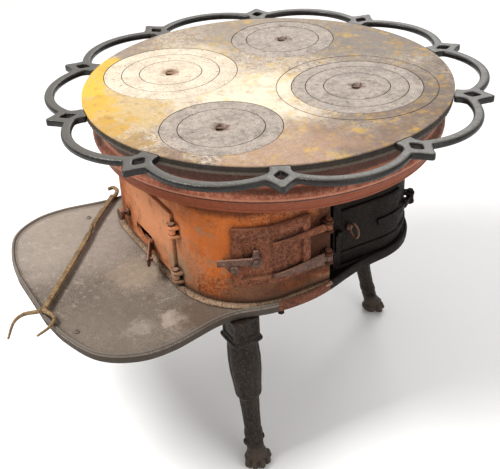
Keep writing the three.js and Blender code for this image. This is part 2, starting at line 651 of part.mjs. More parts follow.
function makeFrontDoor() {
  const half = FRONT_DOOR_HALF;
  const leaf = box(-half, half + 4, DOOR_FACE, DOOR_BACK, FRONT_DOOR_FOOT, FRONT_DOOR_TOP);
  const knuckles = Object.values(FRONT_HINGES).map((z) => knuckle(FRONT_PIVOT, z, [half - 6, DOOR_FACE + 4], 5));
  const draft = upright(draftShape(0), DOOR_FACE - 20, DOOR_BACK + 20);
  const spindleHole = rod(SPINDLE + GAP, [LATCH_X, DOOR_FACE - 20, LATCH_Z], 90, 60, 12);
  const flapLugs = [DRAFT_BOTTOM + 4, DRAFT_BOTTOM + DRAFT_HEIGHT - 9].map((z) =>
    box(DRAFT_HINGE_X - 4, DRAFT_HINGE_X + 4, DOOR_FACE - 8, DOOR_FACE + 1, z, z + 5));
  const flapPin = post(2 + GAP, DRAFT_HINGE_X, DOOR_FACE - 4, FRONT_DOOR_FOOT, DRAFT_BOTTOM + DRAFT_HEIGHT + 9, 10);
  const holes = Object.values(FRONT_HINGES).map((z) => pinRoom(FRONT_PIVOT, z));
  const behind = box(half - 8, half + 30, DOOR_BACK, DOOR_BACK + 30, 0, TOP_HEIGHT);
  return cut(join(leaf, ...knuckles, ...flapLugs), draft, spindleHole, flapPin, behind, ...holes);
}

function makeFrontLatch() {
  const outwards = (y0, y1, r, sides) => rod(r, [LATCH_X, y0, LATCH_Z], 90, y1 - y0, sides);
  const spindle = outwards(DOOR_FACE - 16, FIREBOX_FRONT + WALL + 6, SPINDLE, 12);
  const collar = outwards(DOOR_FACE - 5, DOOR_FACE - GAP, 8, 14);
  const knob = outwards(DOOR_FACE - 22, DOOR_FACE - 14, 13, 18);
  const tongue = box(LATCH_X - 5, LATCH_X + 5, FIREBOX_FRONT + WALL + GAP + 0.4, FIREBOX_FRONT + WALL + 6,
    LATCH_Z - 5, LATCH_Z + 30);
  return join(spindle, collar, knob, tongue);
}

function makeDraftFlap() {
  const plate = upright(draftShape(-3), DOOR_FACE - 4, DOOR_FACE - 0.8);
  const barrelBottom = DRAFT_BOTTOM + 9.6;
  const barrelTop = DRAFT_BOTTOM + DRAFT_HEIGHT - 9.6;
  const barrel = post(3.6, DRAFT_HINGE_X, DOOR_FACE - 4, barrelBottom, barrelTop, 12);
  const web = box(DRAFT_HINGE_X - 9, DRAFT_HINGE_X, DOOR_FACE - 4, DOOR_FACE - 1.4, barrelBottom, barrelTop);
  const lift = box(DRAFT_LEFT + 10, DRAFT_LEFT + 16, DOOR_FACE - 12, DOOR_FACE - 3, DRAFT_BOTTOM + 22, DRAFT_BOTTOM + 30);
  const trim = box(DRAFT_HINGE_X - 7, DRAFT_HINGE_X + 20, DOOR_FACE - 20, DOOR_FACE, 0, barrelBottom);
  const trimTop = box(DRAFT_HINGE_X - 7, DRAFT_HINGE_X + 20, DOOR_FACE - 20, DOOR_FACE, barrelTop, TOP_HEIGHT);
  const room = post(2 + GAP, DRAFT_HINGE_X, DOOR_FACE - 4, 0, TOP_HEIGHT, 10);
  return cut(join(cut(plate, trim, trimTop), barrel, web, lift), room);
}

add(
  piece('front_door', makeFrontDoor(), 'rust'),
  piece('front_latch', makeFrontLatch(), 'iron'),
  piece('draft_flap_pin', post(2, DRAFT_HINGE_X, DOOR_FACE - 4, DRAFT_BOTTOM + 3, DRAFT_BOTTOM + DRAFT_HEIGHT - 3, 10), 'iron'),
);
const flapHinge = new THREE.Group();
flapHinge.position.set(DRAFT_HINGE_X, DOOR_FACE - 4, 0);
flapHinge.rotation.z = rad(DRAFT_REST);
const flap = piece('draft_flap', makeDraftFlap().translate([-DRAFT_HINGE_X, 4 - DOOR_FACE, 0]), 'iron');
flapHinge.add(flap);
add(flapHinge);

// ---------------------------------------------------------------- side loading door

const SIDE_LATCH_Y = -193;
const SIDE_LATCH_Z = 486;
const SIDE_LATCH_ANGLE = THREE.MathUtils.radToDeg(
  Math.asin((SIDE_LATCH_Y - FIREBOX_FRONT - FIREBOX_CORNER) / FIREBOX_CORNER));
const LEAF_INNER = GAP;
const LEAF_OUTER = GAP + 5;
const LEAF_BORDER = GAP + 10;

function makeSideDoor() {
  const [y0, y1] = [SIDE_DOOR_FRONT, SIDE_DOOR_REAR];
  const [z0, z1] = [SIDE_DOOR_BOTTOM, SIDE_DOOR_TOP];
  const leaf = wallPlate(y0, y1, LEAF_INNER, LEAF_OUTER, z0, z1);
  const border = wallPlate(y0, y1, LEAF_INNER, LEAF_BORDER, z0, z1);
  const field = box(180, 320, y0 + SIDE_BORDER, y1 - SIDE_BORDER, z0 + SIDE_BORDER, z1 - SIDE_BORDER);
  const [px, py] = wallPoint(SIDE_LATCH_Y, -20);
  const screwHole = rod(3 + GAP, [px, py, SIDE_LATCH_Z], SIDE_LATCH_ANGLE, 60, 12);
  return cut(join(leaf, cut(border, field)), screwHole);
}

/** A strap that laps on the door's border and ends in the knuckle round the hinge pin. */
function makeSideStrap(z, deep) {
  const arm = [
    [-168, 3], [-125, 0.25 * deep], [-82, 0.42 * deep], [SIDE_PIVOT_Y, 0.5 * deep],
  ];
  const above = arm.map(([y, half]) => new THREE.Vector2(-y, half));
  const below = arm.map(([y, half]) => new THREE.Vector2(-y, -half)).reverse();
  const outline = new THREE.Shape([...above, ...below]);
  const blade = new THREE.ExtrudeGeometry(outline, { depth: 60, bevelEnabled: false });
  blade.rotateX(Math.PI / 2).rotateZ(-Math.PI / 2).translate(300, 0, z);
  const skin = wallPlate(-170, SIDE_PIVOT_Y - KNUCKLE_RADIUS - 1, LEAF_BORDER + GAP, LEAF_BORDER + 5, 300, 600);
  const web = wallPlate(SIDE_PIVOT_Y - KNUCKLE_RADIUS - 4, SIDE_PIVOT_Y, LEAF_BORDER + GAP, LEAF_BORDER + 5, z - KNUCKLE / 2, z + KNUCKLE / 2);
  const eye = post(KNUCKLE_RADIUS - 1, ...SIDE_PIVOT, z - KNUCKLE / 2, z + KNUCKLE / 2, 14);
  const shaped = solid(blade).intersect(skin);
  return cut(join(shaped, web, eye), pinRoom(SIDE_PIVOT, z));
}

/** The turning latch: boss with a thumb tab, and the arm that drops into the catch. */
function makeSideLatch() {
  const boss = new THREE.CylinderGeometry(12, 12, 8, 20).rotateZ(Math.PI / 2);
  const ring = solid(boss.translate(4 + GAP, 0, 0));
  const tabShape = new THREE.Shape([[-8, 0], [8, 0], [5, 24], [-5, 24]].map((p) => new THREE.Vector2(...p)));
  const tabGeometry = new THREE.ExtrudeGeometry(tabShape, { depth: 5, bevelEnabled: false });
  const tab = solid(tabGeometry.rotateX(Math.PI / 2).rotateZ(Math.PI / 2).translate(GAP + 1, 0, 0));
  const reach = 72;
  const armShape = new THREE.Shape([[0, -6], [0, 8], [-reach, 11], [-reach, -2]].map((p) => new THREE.Vector2(...p)));
  const armGeometry = new THREE.ExtrudeGeometry(armShape, { depth: 6, bevelEnabled: false });
  const arm = solid(armGeometry.rotateX(Math.PI / 2).rotateZ(Math.PI / 2).translate(GAP + 1, 0, 0));
  const hole = solid(new THREE.CylinderGeometry(3 + GAP, 3 + GAP, 40, 12).rotateZ(Math.PI / 2));
  return cut(join(ring, tab, arm), hole);
}

function makeSideScrew() {
  const head = rod(7, [8 + 2 * GAP, 0, 0], 0, 3, 14);
  const shank = rod(3, [-14, 0, 0], 0, 23, 12);
  const slot = box(9.6 + GAP, 20, -10, 10, -1, 1);
  return cut(join(head, shank), slot);
}

const latchPlace = new THREE.Group();
const [latchX, latchY] = wallPoint(SIDE_LATCH_Y, LEAF_BORDER);
latchPlace.position.set(latchX, latchY, SIDE_LATCH_Z);
latchPlace.rotation.z = rad(SIDE_LATCH_ANGLE);
latchPlace.add(
  piece('side_latch', makeSideLatch(), 'rust'),
  piece('side_latch_screw', makeSideScrew(), 'iron'),
);
add(
  latchPlace,
  piece('side_door', makeSideDoor(), 'rust'),
  piece('side_strap_upper', makeSideStrap(SIDE_HINGES.upper, 16), 'iron'),
  piece('side_strap_lower', makeSideStrap(SIDE_HINGES.lower, 26), 'rust'),
  piece('side_catch', wallPlate(-244, -233, GAP, 26, SIDE_LATCH_Z - 18, SIDE_LATCH_Z - 4), 'iron'),
);

// ---------------------------------------------------------------- oven door

const RING_Y = 25;
const RING_Z = 472;

function makeOvenDoor() {
  const [y0, y1] = [OVEN_DOOR_FRONT, OVEN_DOOR_REAR];
  const leaf = ovenPlate(y0, y1, GAP, 6, OVEN_DOOR_BOTTOM, OVEN_DOOR_TOP);
  const spindleHole = rod(SPINDLE + GAP, [OVEN_HALF - 30, RING_Y, RING_Z], 0, 80, 12);
  return cut(leaf, spindleHole);
}

function makeOvenStrap(z) {
  const blade = ovenPlate(96, 186, 6 + GAP, 10, z - 7, z + 7);
  const eye = knuckle(OVEN_PIVOT, z, [ovenX(182, 8), 182], 4);
  const level = box(0, 400, 0, 400, z - 7, z + 7);
  return cut(join(blade, eye).intersect(level), pinRoom(OVEN_PIVOT, z));
}

/** The ring handle with its spindle and the inner tongue that holds the door shut. */
function makeOvenRing() {
  const ring = new THREE.TorusGeometry(14, 3, 6, 16).rotateX(Math.PI / 2);
  const handle = solid(ring.translate(OVEN_HALF + 26, RING_Y, RING_Z));
  const spindle = rod(SPINDLE, [OVEN_HALF - WALL - 8, RING_Y, RING_Z], 0, WALL + 8 + 14, 12);
  const collar = rod(7, [OVEN_HALF + 6 + GAP, RING_Y, RING_Z], 0, 6, 14);
  const tongue = box(OVEN_HALF - WALL - 7, OVEN_HALF - WALL - 1, RING_Y - 5, RING_Y + 5, RING_Z - 30, RING_Z + 5);
  return join(handle, spindle, collar, tongue);
}

/** The keeper bolted to the pilaster in front of the oven door's free edge. */
function makeKeeper() {
  const face = OVEN_HALF + PILASTER_REACH + GAP;
  const foot = box(face, face + 5, PILASTER_START + 4, PILASTER_START + 16, RING_Z - 45, RING_Z + 4);
  const nose = box(face, face + 11, PILASTER_START + 4, PILASTER_START + 16, RING_Z - 4, RING_Z + 4);
  return join(foot, nose);
}

add(
  piece('oven_door', makeOvenDoor(), 'black'),
  piece('oven_strap', makeOvenStrap(OVEN_HINGES.middle), 'black'),
  piece('oven_ring', makeOvenRing(), 'black'),
  piece('oven_keeper', makeKeeper(), 'black'),
);

// ---------------------------------------------------------------- turning top

/** Pot holes in the top's own frame: distance ahead, distance to the left, and the radii
 *  of the hole and of each opening inside it; the last opening holds the lid. */
const POT_SETS = {
  large: { ahead: 206, left: 0, radii: [139, 102, 65.5] },
  rear: { ahead: -183, left: 0, radii: [130, 102, 66] },
  near: { ahead: 25, left: 231, radii: [114, 81] },
  far: { ahead: 25, left: -231, radii: [114, 81] },
};

/** Plan place of a pot hole: the top's own forward direction is -Y. */
function potPlace({ ahead, left }) {
  return [left, -ahead, 0];
}

function makeTopPlate() {
  const skirt = TOP_HEIGHT - RIM_DEPTH;
  const profile = [
    [0, TOP_UNDERSIDE], [TOP_RADIUS - RIM_WALL, TOP_UNDERSIDE], [TOP_RADIUS - RIM_WALL, skirt],
    [TOP_RADIUS - 1, skirt], [TOP_RADIUS, skirt + 2], [TOP_RADIUS, TOP_HEIGHT - 2.5],
    [TOP_RADIUS - 2.5, TOP_HEIGHT], [0, TOP_HEIGHT],
  ];
  const holes = Object.values(POT_SETS).map((set) => {
    const hole = set.radii[0];
    const rebate = [
      [0, TOP_UNDERSIDE - 5], [hole - SEAT_WIDTH, TOP_UNDERSIDE - 5],
      [hole - SEAT_WIDTH, TOP_HEIGHT - SEAT_DEPTH], [hole, TOP_HEIGHT - SEAT_DEPTH],
      [hole, TOP_HEIGHT + 5], [0, TOP_HEIGHT + 5],
    ];
    return turned(rebate, POT_SIDES).translate(potPlace(set));
  });
  return cut(turned(profile, RIM_SIDES), ...holes);
}

/** A loose ring: its edge sits in the rebate outside it and it has a rebate of its own. */
function makeRing(outer, opening) {
  const edge = outer - RUNNING;
  const seat = TOP_HEIGHT - SEAT_DEPTH;
  const under = TOP_HEIGHT - LID_THICK;
  const waist = edge - SEAT_WIDTH - 1;
  return turned([
    [opening, TOP_HEIGHT], [edge, TOP_HEIGHT], [edge, seat + GAP], [waist, seat + GAP],
    [waist, under], [opening - SEAT_WIDTH, under], [opening - SEAT_WIDTH, seat], [opening, seat],
  ], POT_SIDES);
}

/** A lid with a lifter pocket and the bar that the lifter hooks under. */
function makeLid(outer) {
  const edge = outer - RUNNING;
  const seat = TOP_HEIGHT - SEAT_DEPTH;
  const under = TOP_HEIGHT - LID_THICK;
  const waist = edge - SEAT_WIDTH - 1;
  const disc = turned([
    [0, under], [waist, under], [waist, seat + GAP], [edge, seat + GAP], [edge, TOP_HEIGHT], [0, TOP_HEIGHT],
  ], POT_SIDES);
  const pocket = new THREE.CylinderGeometry(17, 17, 12, 18).rotateX(Math.PI / 2).scale(1, 0.55, 1);
  const hollow = solid(pocket.translate(0, 0, TOP_HEIGHT - 5.5 + 6));
  const lifterBar = box(-3, 3, -11, 11, TOP_HEIGHT - 6.5, TOP_HEIGHT - 1);
  return join(cut(disc, hollow), lifterBar);
}

function makePivotStud() {
  const flange = post(26, 0, 0, DRUM_TOP - 7, DRUM_TOP, 24);
  const stud = post(PIVOT_RADIUS, 0, 0, BRIDGE_TOP - 34, DRUM_TOP - 1, 24);
  return join(flange, stud);
}

// ---------------------------------------------------------------- scalloped rail

const LOBE = 360 / RAIL_LOBES;
const RAIL_START = 18;

/** One arch of the rail and the eyed joint piece at its end, in plan. */
function railLobe(index) {
  const top = TOP_HEIGHT;
  const bottom = TOP_HEIGHT - RAIL_DEPTH;
  const at = rad(RAIL_START + index * LOBE);
  const middle = at + rad(LOBE / 2);
  const foot = TOP_RADIUS + 31;
  const half = foot * Math.sin(rad(LOBE / 2 - 2.3));
  const chord = foot * Math.cos(rad(LOBE / 2 - 2.3));
  const crown = RAIL_BAR_OUTER - RAIL_BAR_WIDTH / 2;
  const rise = crown - chord;
  const sweep = (half * half + rise * rise) / (2 * rise);
  const centre = crown - sweep;
  const spread = Math.asin(Math.min(1, half / sweep)) + rad(3);
  const arch = new THREE.Shape();
  arch.absarc(centre, 0, sweep + RAIL_BAR_WIDTH / 2, -spread, spread, false);
  arch.absarc(centre, 0, sweep - RAIL_BAR_WIDTH / 2, spread, -spread, true);
  const geometry = new THREE.ExtrudeGeometry(arch, { depth: top - bottom, bevelEnabled: false, curveSegments: 4 });
  const eyeAt = TOP_RADIUS + 34;
  const tip = RAIL_TIP_RADIUS;
  const flank = [[TOP_RADIUS + GAP, 19], [TOP_RADIUS + 15, 19], [eyeAt, 26], [tip - 28, 22], [tip, 4]];
  const joint = new THREE.Shape([
    ...flank.map(([r, across]) => new THREE.Vector2(r, -across)),
    ...flank.toReversed().map(([r, across]) => new THREE.Vector2(r, across)),
  ]);
  joint.holes.push(new THREE.Path([
    [eyeAt - RAIL_EYE_REACH, 0], [eyeAt, -RAIL_EYE_HALF], [eyeAt + RAIL_EYE_REACH, 0], [eyeAt, RAIL_EYE_HALF],
  ].map((p) => new THREE.Vector2(...p))));
  const plate = new THREE.ExtrudeGeometry(joint, { depth: top - bottom, bevelEnabled: false });
  return [
    solid(geometry.rotateZ(middle).translate(0, 0, bottom)),
    solid(plate.rotateZ(at).translate(0, 0, bottom)),
  ];
}

function makeRail() {
  const lobes = Array.from({ length: RAIL_LOBES }, (_, i) => railLobe(i)).flat();
  const plateRoom = post(TOP_RADIUS + 2 * GAP, 0, 0, 0, TOP_HEIGHT + 5, RIM_SIDES);
  const band = turned([
    [TOP_RADIUS + GAP, TOP_HEIGHT - RAIL_DEPTH], [TOP_RADIUS + 4, TOP_HEIGHT - RAIL_DEPTH],
    [TOP_RADIUS + 4, TOP_HEIGHT - 4], [TOP_RADIUS + GAP, TOP_HEIGHT - 4],
  ], RIM_SIDES);
  return join(band, ...lobes).subtract(plateRoom);
}

const top = new THREE.Group();
top.rotation.z = rad(TOP_TURN);
top.add(
  piece('top_plate', makeTopPlate(), 'top'),
  piece('scalloped_rail', makeRail(), 'rail'),
  piece('pivot_stud', makePivotStud(), 'iron'),
);
for (const [name, set] of Object.entries(POT_SETS)) {
  const { radii } = set;
  const centre = new THREE.Group();
  centre.position.set(...potPlace(set));
  const ringNames = radii.length === 3 ? ['outer', 'inner'] : ['outer'];
  ringNames.forEach((which, i) => centre.add(piece(`${which}_ring_${name}`, makeRing(radii[i], radii[i + 1]), 'ring')));
  centre.add(piece(`lid_${name}`, makeLid(radii.at(-1)), 'ring'));
  top.add(centre);
}
add(top);

// ---------------------------------------------------------------- poker

const POKER_Z = BASE_TOP + BEAD_HEIGHT + POKER_RADIUS + GAP + 0.2;

function makePoker() {
  const z = POKER_Z;
  const low = z - 3;
  const shaft = bar([[-263, -264, z], [-98, -405, z], [69, -547, z]], POKER_RADIUS, 4);
  const hook = bar([
    [-256, -270, z], [-266, -256, z], [-280, -247, z + 2], [-294, -250, z + 3], [-292, -264, z + 3],
  ], POKER_RADIUS - 1, 10);
  const leftTine = bar([
    [62, -541, z], [67, -558, z], [58, -584, low], [70, -606, low], [112, -630, low],
  ], POKER_RADIUS - 1, 10);
  const rightTine = bar([
    [62, -549, z], [84, -541, z], [103, -538, z], [124, -554, z], [134, -583, low],
  ], POKER_RADIUS - 1, 10);
  return join(shaft, hook, leftTine, rightTine);
}

add(piece('poker', makePoker(), 'poker'));

// ---------------------------------------------------------------- place on the floor

stove.updateMatrixWorld(true);
const extent = new THREE.Box3().setFromObject(stove, true);
stove.position.x = -(extent.min.x + extent.max.x) / 2;
stove.position.y = -(extent.min.y + extent.max.y) / 2;

export default stove;
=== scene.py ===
"""Visual model of an antique cast-iron cook stove with a round turning top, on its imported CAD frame."""

import logging
import math
from dataclasses import dataclass
from enum import Enum

import bmesh
import bpy
import numpy as np
from mathutils import Matrix, Vector
from numpy.typing import ArrayLike, NDArray


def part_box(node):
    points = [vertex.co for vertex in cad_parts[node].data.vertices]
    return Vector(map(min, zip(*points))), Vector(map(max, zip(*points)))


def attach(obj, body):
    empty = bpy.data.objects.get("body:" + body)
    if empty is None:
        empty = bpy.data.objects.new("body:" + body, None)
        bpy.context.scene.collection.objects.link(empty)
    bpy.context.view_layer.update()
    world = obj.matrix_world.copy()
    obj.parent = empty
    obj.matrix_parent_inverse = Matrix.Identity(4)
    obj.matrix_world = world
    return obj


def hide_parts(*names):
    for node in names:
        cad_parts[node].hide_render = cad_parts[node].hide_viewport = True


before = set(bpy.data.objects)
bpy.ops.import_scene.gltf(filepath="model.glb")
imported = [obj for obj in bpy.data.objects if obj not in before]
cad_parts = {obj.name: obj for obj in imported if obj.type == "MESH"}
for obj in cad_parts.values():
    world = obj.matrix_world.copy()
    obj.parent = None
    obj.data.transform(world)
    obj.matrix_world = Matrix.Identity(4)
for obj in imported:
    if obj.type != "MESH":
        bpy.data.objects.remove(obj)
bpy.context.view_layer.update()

log = logging.getLogger("stove")
Points = NDArray[np.float64]
Piece = bpy.types.Object
Tree = bpy.types.NodeTree
Socket = bpy.types.NodeSocket
Spot = tuple[float, float]
Place = tuple[float, float, float]
MM = 0.001


# ---------------------------------------------------------------- sizes shared by the sub-assemblies, in mm

AXIS = (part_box("pivot_stud")[0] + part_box("pivot_stud")[1]) / 2
TOP_Z = 700.0
TOP_RADIUS = 371.0
TOP_TURN = math.radians(-46.0)
WALL_FOOT = 384.3
WALL_HEAD = 590.4
WALL = 7.0
FIREBOX_HALF = 276.0
FIREBOX_FRONT = -284.0
FIREBOX_CORNER = 150.0
FIREBOX_REAR = -35.0
OVEN_HALF = 246.0
OVEN_REAR = 235.0
OVEN_CORNER = 128.0


class Body(Enum):
    """Rigid bodies of the stove that pieces ride on."""

    STOVE = "stove"
    TOP = "turning_top"
    FRONT_DOOR = "front_door"
    FRONT_LATCH = "front_latch"
    DRAFT_FLAP = "draft_flap"
    SIDE_DOOR = "side_door"
    SIDE_LATCH = "side_latch"
    OVEN_DOOR = "oven_door"
    OVEN_LATCH = "oven_latch"
    POKER = "poker"


# ---------------------------------------------------------------- surface kit


def smoothstep(low: float, high: float, value: ArrayLike) -> Points:
    """Cubic ramp that runs from 0 at low to 1 at high."""
    t = np.clip((np.asarray(value, float) - low) / (high - low), 0.0, 1.0)
    return t * t * (3.0 - 2.0 * t)


def fillet(points: ArrayLike, radius: float, steps: int = 4, closed: bool = True) -> Points:
    """Rounds every corner of a polyline with a quadratic arc between points one radius away.

    Args:
        points: Corner points, in order.
        radius: Distance from each corner at which its arc starts, in mm.
        steps: Points on each arc.
        closed: Whether the polyline closes on itself.

    Returns:
        The rounded polyline.
    """
    corner = np.asarray(points, float)
    before = np.roll(corner, 1, 0) - corner
    after = np.roll(corner, -1, 0) - corner
    reach_in = np.linalg.norm(before, axis=1, keepdims=True)
    reach_out = np.linalg.norm(after, axis=1, keepdims=True)
    start = corner + before / np.maximum(reach_in, 1e-9) * np.minimum(radius, reach_in * 0.45)
    stop = corner + after / np.maximum(reach_out, 1e-9) * np.minimum(radius, reach_out * 0.45)
    t = np.linspace(0.0, 1.0, steps)[None, :, None]
    arcs = (1 - t) ** 2 * start[:, None] + 2 * t * (1 - t) * corner[:, None] + t**2 * stop[:, None]
    if closed:
        return arcs.reshape(-1, corner.shape[1])
    middle = arcs[1:-1].reshape(-1, corner.shape[1])
    return np.vstack([corner[:1], middle, corner[-1:]])


def mesh_object(name: str, points: Points, faces: NDArray[np.int64]) -> Piece:
    """Makes a closed mesh from quads, merges its seams and poles, and turns its faces outwards.

    Args:
        name: Object name.
        points: Vertex places in mm, in the stove's own axes.
        faces: Four vertex numbers a face.

    Returns:
        The new object, at the origin, with its place in its mesh.
    """
    mesh = bpy.data.meshes.new(name)
    shift = np.array([AXIS.x, AXIS.y, 0.0])
    mesh.from_pydata((points * MM + shift).tolist(), [], faces.tolist())
    work = bmesh.new()
    work.from_mesh(mesh)
    bmesh.ops.remove_doubles(work, verts=work.verts, dist=2e-6)
    bmesh.ops.recalc_face_normals(work, faces=work.faces)
    work.to_mesh(mesh)
    work.free()
    piece = bpy.data.objects.new(name, mesh)
    bpy.context.scene.collection.objects.link(piece)
    return piece


def surface(name: str, grid: Points, wrap_rows: bool = False, wrap_columns: bool = False) -> Piece:
    """Skins a grid of points: each cell of neighbouring rows and columns is one face.

    Args:
        name: Object name.
        grid: Rows x columns x 3 points in mm.
        wrap_rows: Joins the last row to the first.
        wrap_columns: Joins the last column to the first.

    Returns:
        The skinned object.
    """
    rows, columns = grid.shape[:2]
    row = np.arange(rows if wrap_rows else rows - 1)
    column = np.arange(columns if wrap_columns else columns - 1)
    r, c = np.meshgrid(row, column, indexing="ij")
    r2, c2 = (r + 1) % rows, (c + 1) % columns
    quads = np.stack([r * columns + c, r * columns + c2, r2 * columns + c2, r2 * columns + c], -1)
    return mesh_object(name, grid.reshape(-1, 3), quads.reshape(-1, 4))


def turned_grid(profile: ArrayLike, sides: int, centre: Spot = (0.0, 0.0)) -> Points:
    """Points of a surface of revolution: each (radius, height) turns round an upright axis."""
    line = np.asarray(profile, float)
    angle = np.linspace(0.0, 2 * np.pi, sides, endpoint=False)
    x = centre[0] + line[:, :1] * np.cos(angle)
    y = centre[1] + line[:, :1] * np.sin(angle)
    return np.stack([x, y, np.repeat(line[:, 1:], sides, 1)], -1)


def turned(name: str, profile: ArrayLike, sides: int, centre: Spot = (0.0, 0.0)) -> Piece:
    """Surface of revolution whose profile ends on the axis or closes on itself."""
    line = np.asarray(profile, float)
    on_axis = line[0, 0] < 1e-6 and line[-1, 0] < 1e-6
    return surface(name, turned_grid(line, sides, centre), wrap_rows=not on_axis, wrap_columns=True)


def prism(name: str, outline: ArrayLike, low: float, high: float, edge: float = 1.0) -> Piece:
    """Upright prism over a plan outline, with its upper and lower edges eased.

    The outline is drawn in towards its centroid by the edge size at the top and bottom rows,
    and both ends close on the centroid.

    Args:
        name: Object name.
        outline: Plan points in mm.
        low: Lower face height.
        high: Upper face height.
        edge: Size of the eased edge.

    Returns:
        The prism.
    """
    plan = np.asarray(outline, float)
    centre = plan.mean(0)
    size = np.linalg.norm(plan - centre, axis=1).mean()
    shrink = 1 - edge / max(size, 1e-6)
    scale = np.array([0.0, shrink, 1.0, 1.0, shrink, 0.0])[:, None, None]
    height = np.array([low, low, low + edge, high - edge, high, high])
    flat = centre + (plan[None] - centre) * scale
    grid = np.concatenate([flat, np.broadcast_to(height[:, None, None], flat.shape[:2] + (1,))], -1)
    return surface(name, grid, wrap_columns=True)


def along(path: ArrayLike, section: ArrayLike, scale: ArrayLike = 1.0, twist: ArrayLike = 0.0) -> Points:
    """Carries a closed section along a path, keeping its second axis as near upright as it can.

    At each point the section's first axis is level and square to the path, the second is square to both.
    Both ends close on the path's own end points.

    Args:
        path: Points of the path in mm.
        section: Closed outline in (across, up) mm.
        scale: Size of the section at each point of the path.
        twist: Turn of the section about the path at each point, in radians.

    Returns:
        Grid of points, one row a path point plus the two poles.
    """
    line = np.asarray(path, float)
    ring = np.asarray(section, float)
    count = len(line)
    size = np.broadcast_to(np.asarray(scale, float), (count,))[:, None, None]
    turn = np.broadcast_to(np.asarray(twist, float), (count,))[:, None, None]
    tangent = np.gradient(line, axis=0)
    tangent /= np.linalg.norm(tangent, axis=1, keepdims=True)
    across = np.cross(tangent, [0.0, 0.0, 1.0])
    across /= np.maximum(np.linalg.norm(across, axis=1, keepdims=True), 1e-9)
    up = np.cross(across, tangent)
    a = ring[None, :, :1] * np.cos(turn) - ring[None, :, 1:] * np.sin(turn)
    b = ring[None, :, :1] * np.sin(turn) + ring[None, :, 1:] * np.cos(turn)
    body = line[:, None] + size * (a * across[:, None] + b * up[:, None])
    poles = [np.repeat(line[i][None, None], len(ring), 1) for i in (0, -1)]
    return np.concatenate([poles[0], body, poles[1]], 0)


def spline(points: ArrayLike, count: int) -> Points:
    """Catmull-Rom curve through the points, sampled evenly in parameter."""
    p = np.asarray(points, float)
    p = np.vstack([2 * p[0] - p[1], p, 2 * p[-1] - p[-2]])
    u = np.linspace(0.0, len(p) - 3 - 1e-9, count)
    i = u.astype(int)
    t = (u - i)[:, None]
    a, b, c, d = p[i], p[i + 1], p[i + 2], p[i + 3]
    return 0.5 * (2 * b + (c - a) * t + (2 * a - 5 * b + 4 * c - d) * t**2 + (3 * b - a - 3 * c + d) * t**3)


def slab(name: str, front: Points, back: Points) -> Piece:
    """Closed plate between two grids of the same size; its two ends close on their middle line."""
    ring = np.concatenate([front, back[:, ::-1]], 1)
    middle = (front + back) / 2
    ends = np.concatenate([middle, middle[:, ::-1]], 1)
    return surface(name, np.concatenate([ends[:1], ring, ends[-1:]], 0), wrap_columns=True)


def ellipsoid_grid(centre: ArrayLike, radii: ArrayLike, turn: float = 0.0, sides: int = 24) -> Points:
    """Points of an ellipsoid: a unit sphere stretched, turned about Z and moved."""
    lat = np.linspace(-np.pi / 2, np.pi / 2, sides // 2)[:, None]
    lon = np.linspace(0, 2 * np.pi, sides, endpoint=False)[None]
    unit = np.stack([np.cos(lat) * np.cos(lon), np.cos(lat) * np.sin(lon), np.sin(lat) + 0 * lon], -1)
    p = unit * np.asarray(radii, float)
    x = p[..., 0] * math.cos(turn) - p[..., 1] * math.sin(turn)
    y = p[..., 0] * math.sin(turn) + p[..., 1] * math.cos(turn)
    return np.stack([x, y, p[..., 2]], -1) + np.asarray(centre, float)


def join(name: str, parts: list[Piece]) -> Piece:
    """Puts several meshes in one object."""
    work = bmesh.new()
    for part in parts:
        work.from_mesh(part.data)
        bpy.data.objects.remove(part)
    mesh = bpy.data.meshes.new(name)
    work.to_mesh(mesh)
    work.free()
    piece = bpy.data.objects.new(name, mesh)
    bpy.context.scene.collection.objects.link(piece)
    return piece


def applied(piece: Piece) -> Piece:
    """Turns a piece's modifiers into its mesh."""
    graph = bpy.context.evaluated_depsgraph_get()
    mesh = bpy.data.meshes.new_from_object(piece.evaluated_get(graph))
    piece.modifiers.clear()
    piece.data = mesh
    return piece


def cast_together(piece: Piece, voxel: float, rounds: int = 2) -> Piece:
    """Runs overlapping shapes into one skin, as poured iron does, and eases its edges.

    Args:
        piece: Object of overlapping closed shapes.
        voxel: Grid of the new skin in mm.
        rounds: Passes of smoothing.

    Returns:
        The same object with its new mesh.
    """
    remesh = piece.modifiers.new("skin", "REMESH")
    remesh.mode = "VOXEL"
    remesh.voxel_size = voxel * MM
    ease = piece.modifiers.new("ease", "SMOOTH")
    ease.factor = 0.5
    ease.iterations = rounds
    return applied(piece)


def cut(piece: Piece, tools: list[Piece]) -> Piece:
    """Cuts the tools out of a piece and removes them."""
    for tool in tools:
        difference = piece.modifiers.new("cut", "BOOLEAN")
        difference.operation = "DIFFERENCE"
        difference.solver = "EXACT"
        difference.object = tool
    applied(piece)
    for tool in tools:
        bpy.data.objects.remove(tool)
    return piece


def softened(node: str, voxel: float) -> Piece:
    """A copy of a CAD node with cast, eased edges, for fittings whose form is already right."""
    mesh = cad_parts[node].data.copy()
    mesh.materials.clear()
    work = bmesh.new()
    work.from_mesh(mesh)
    bmesh.ops.remove_doubles(work, verts=work.verts, dist=2e-6)
    work.to_mesh(mesh)
    work.free()
    piece = bpy.data.objects.new(f"{node}_cast", mesh)
    bpy.context.scene.collection.objects.link(piece)
    return cast_together(piece, voxel, 1)


# ---------------------------------------------------------------- finishes


def linear(colour: str) -> tuple[float, float, float, float]:
    """Linear RGBA of an sRGB hex colour."""
    value = np.array([int(colour[i : i + 2], 16) for i in (0, 2, 4)]) / 255
    value = np.where(value <= 0.04045, value / 12.92, ((value + 0.055) / 1.055) ** 2.4)
    return (*value.tolist(), 1.0)


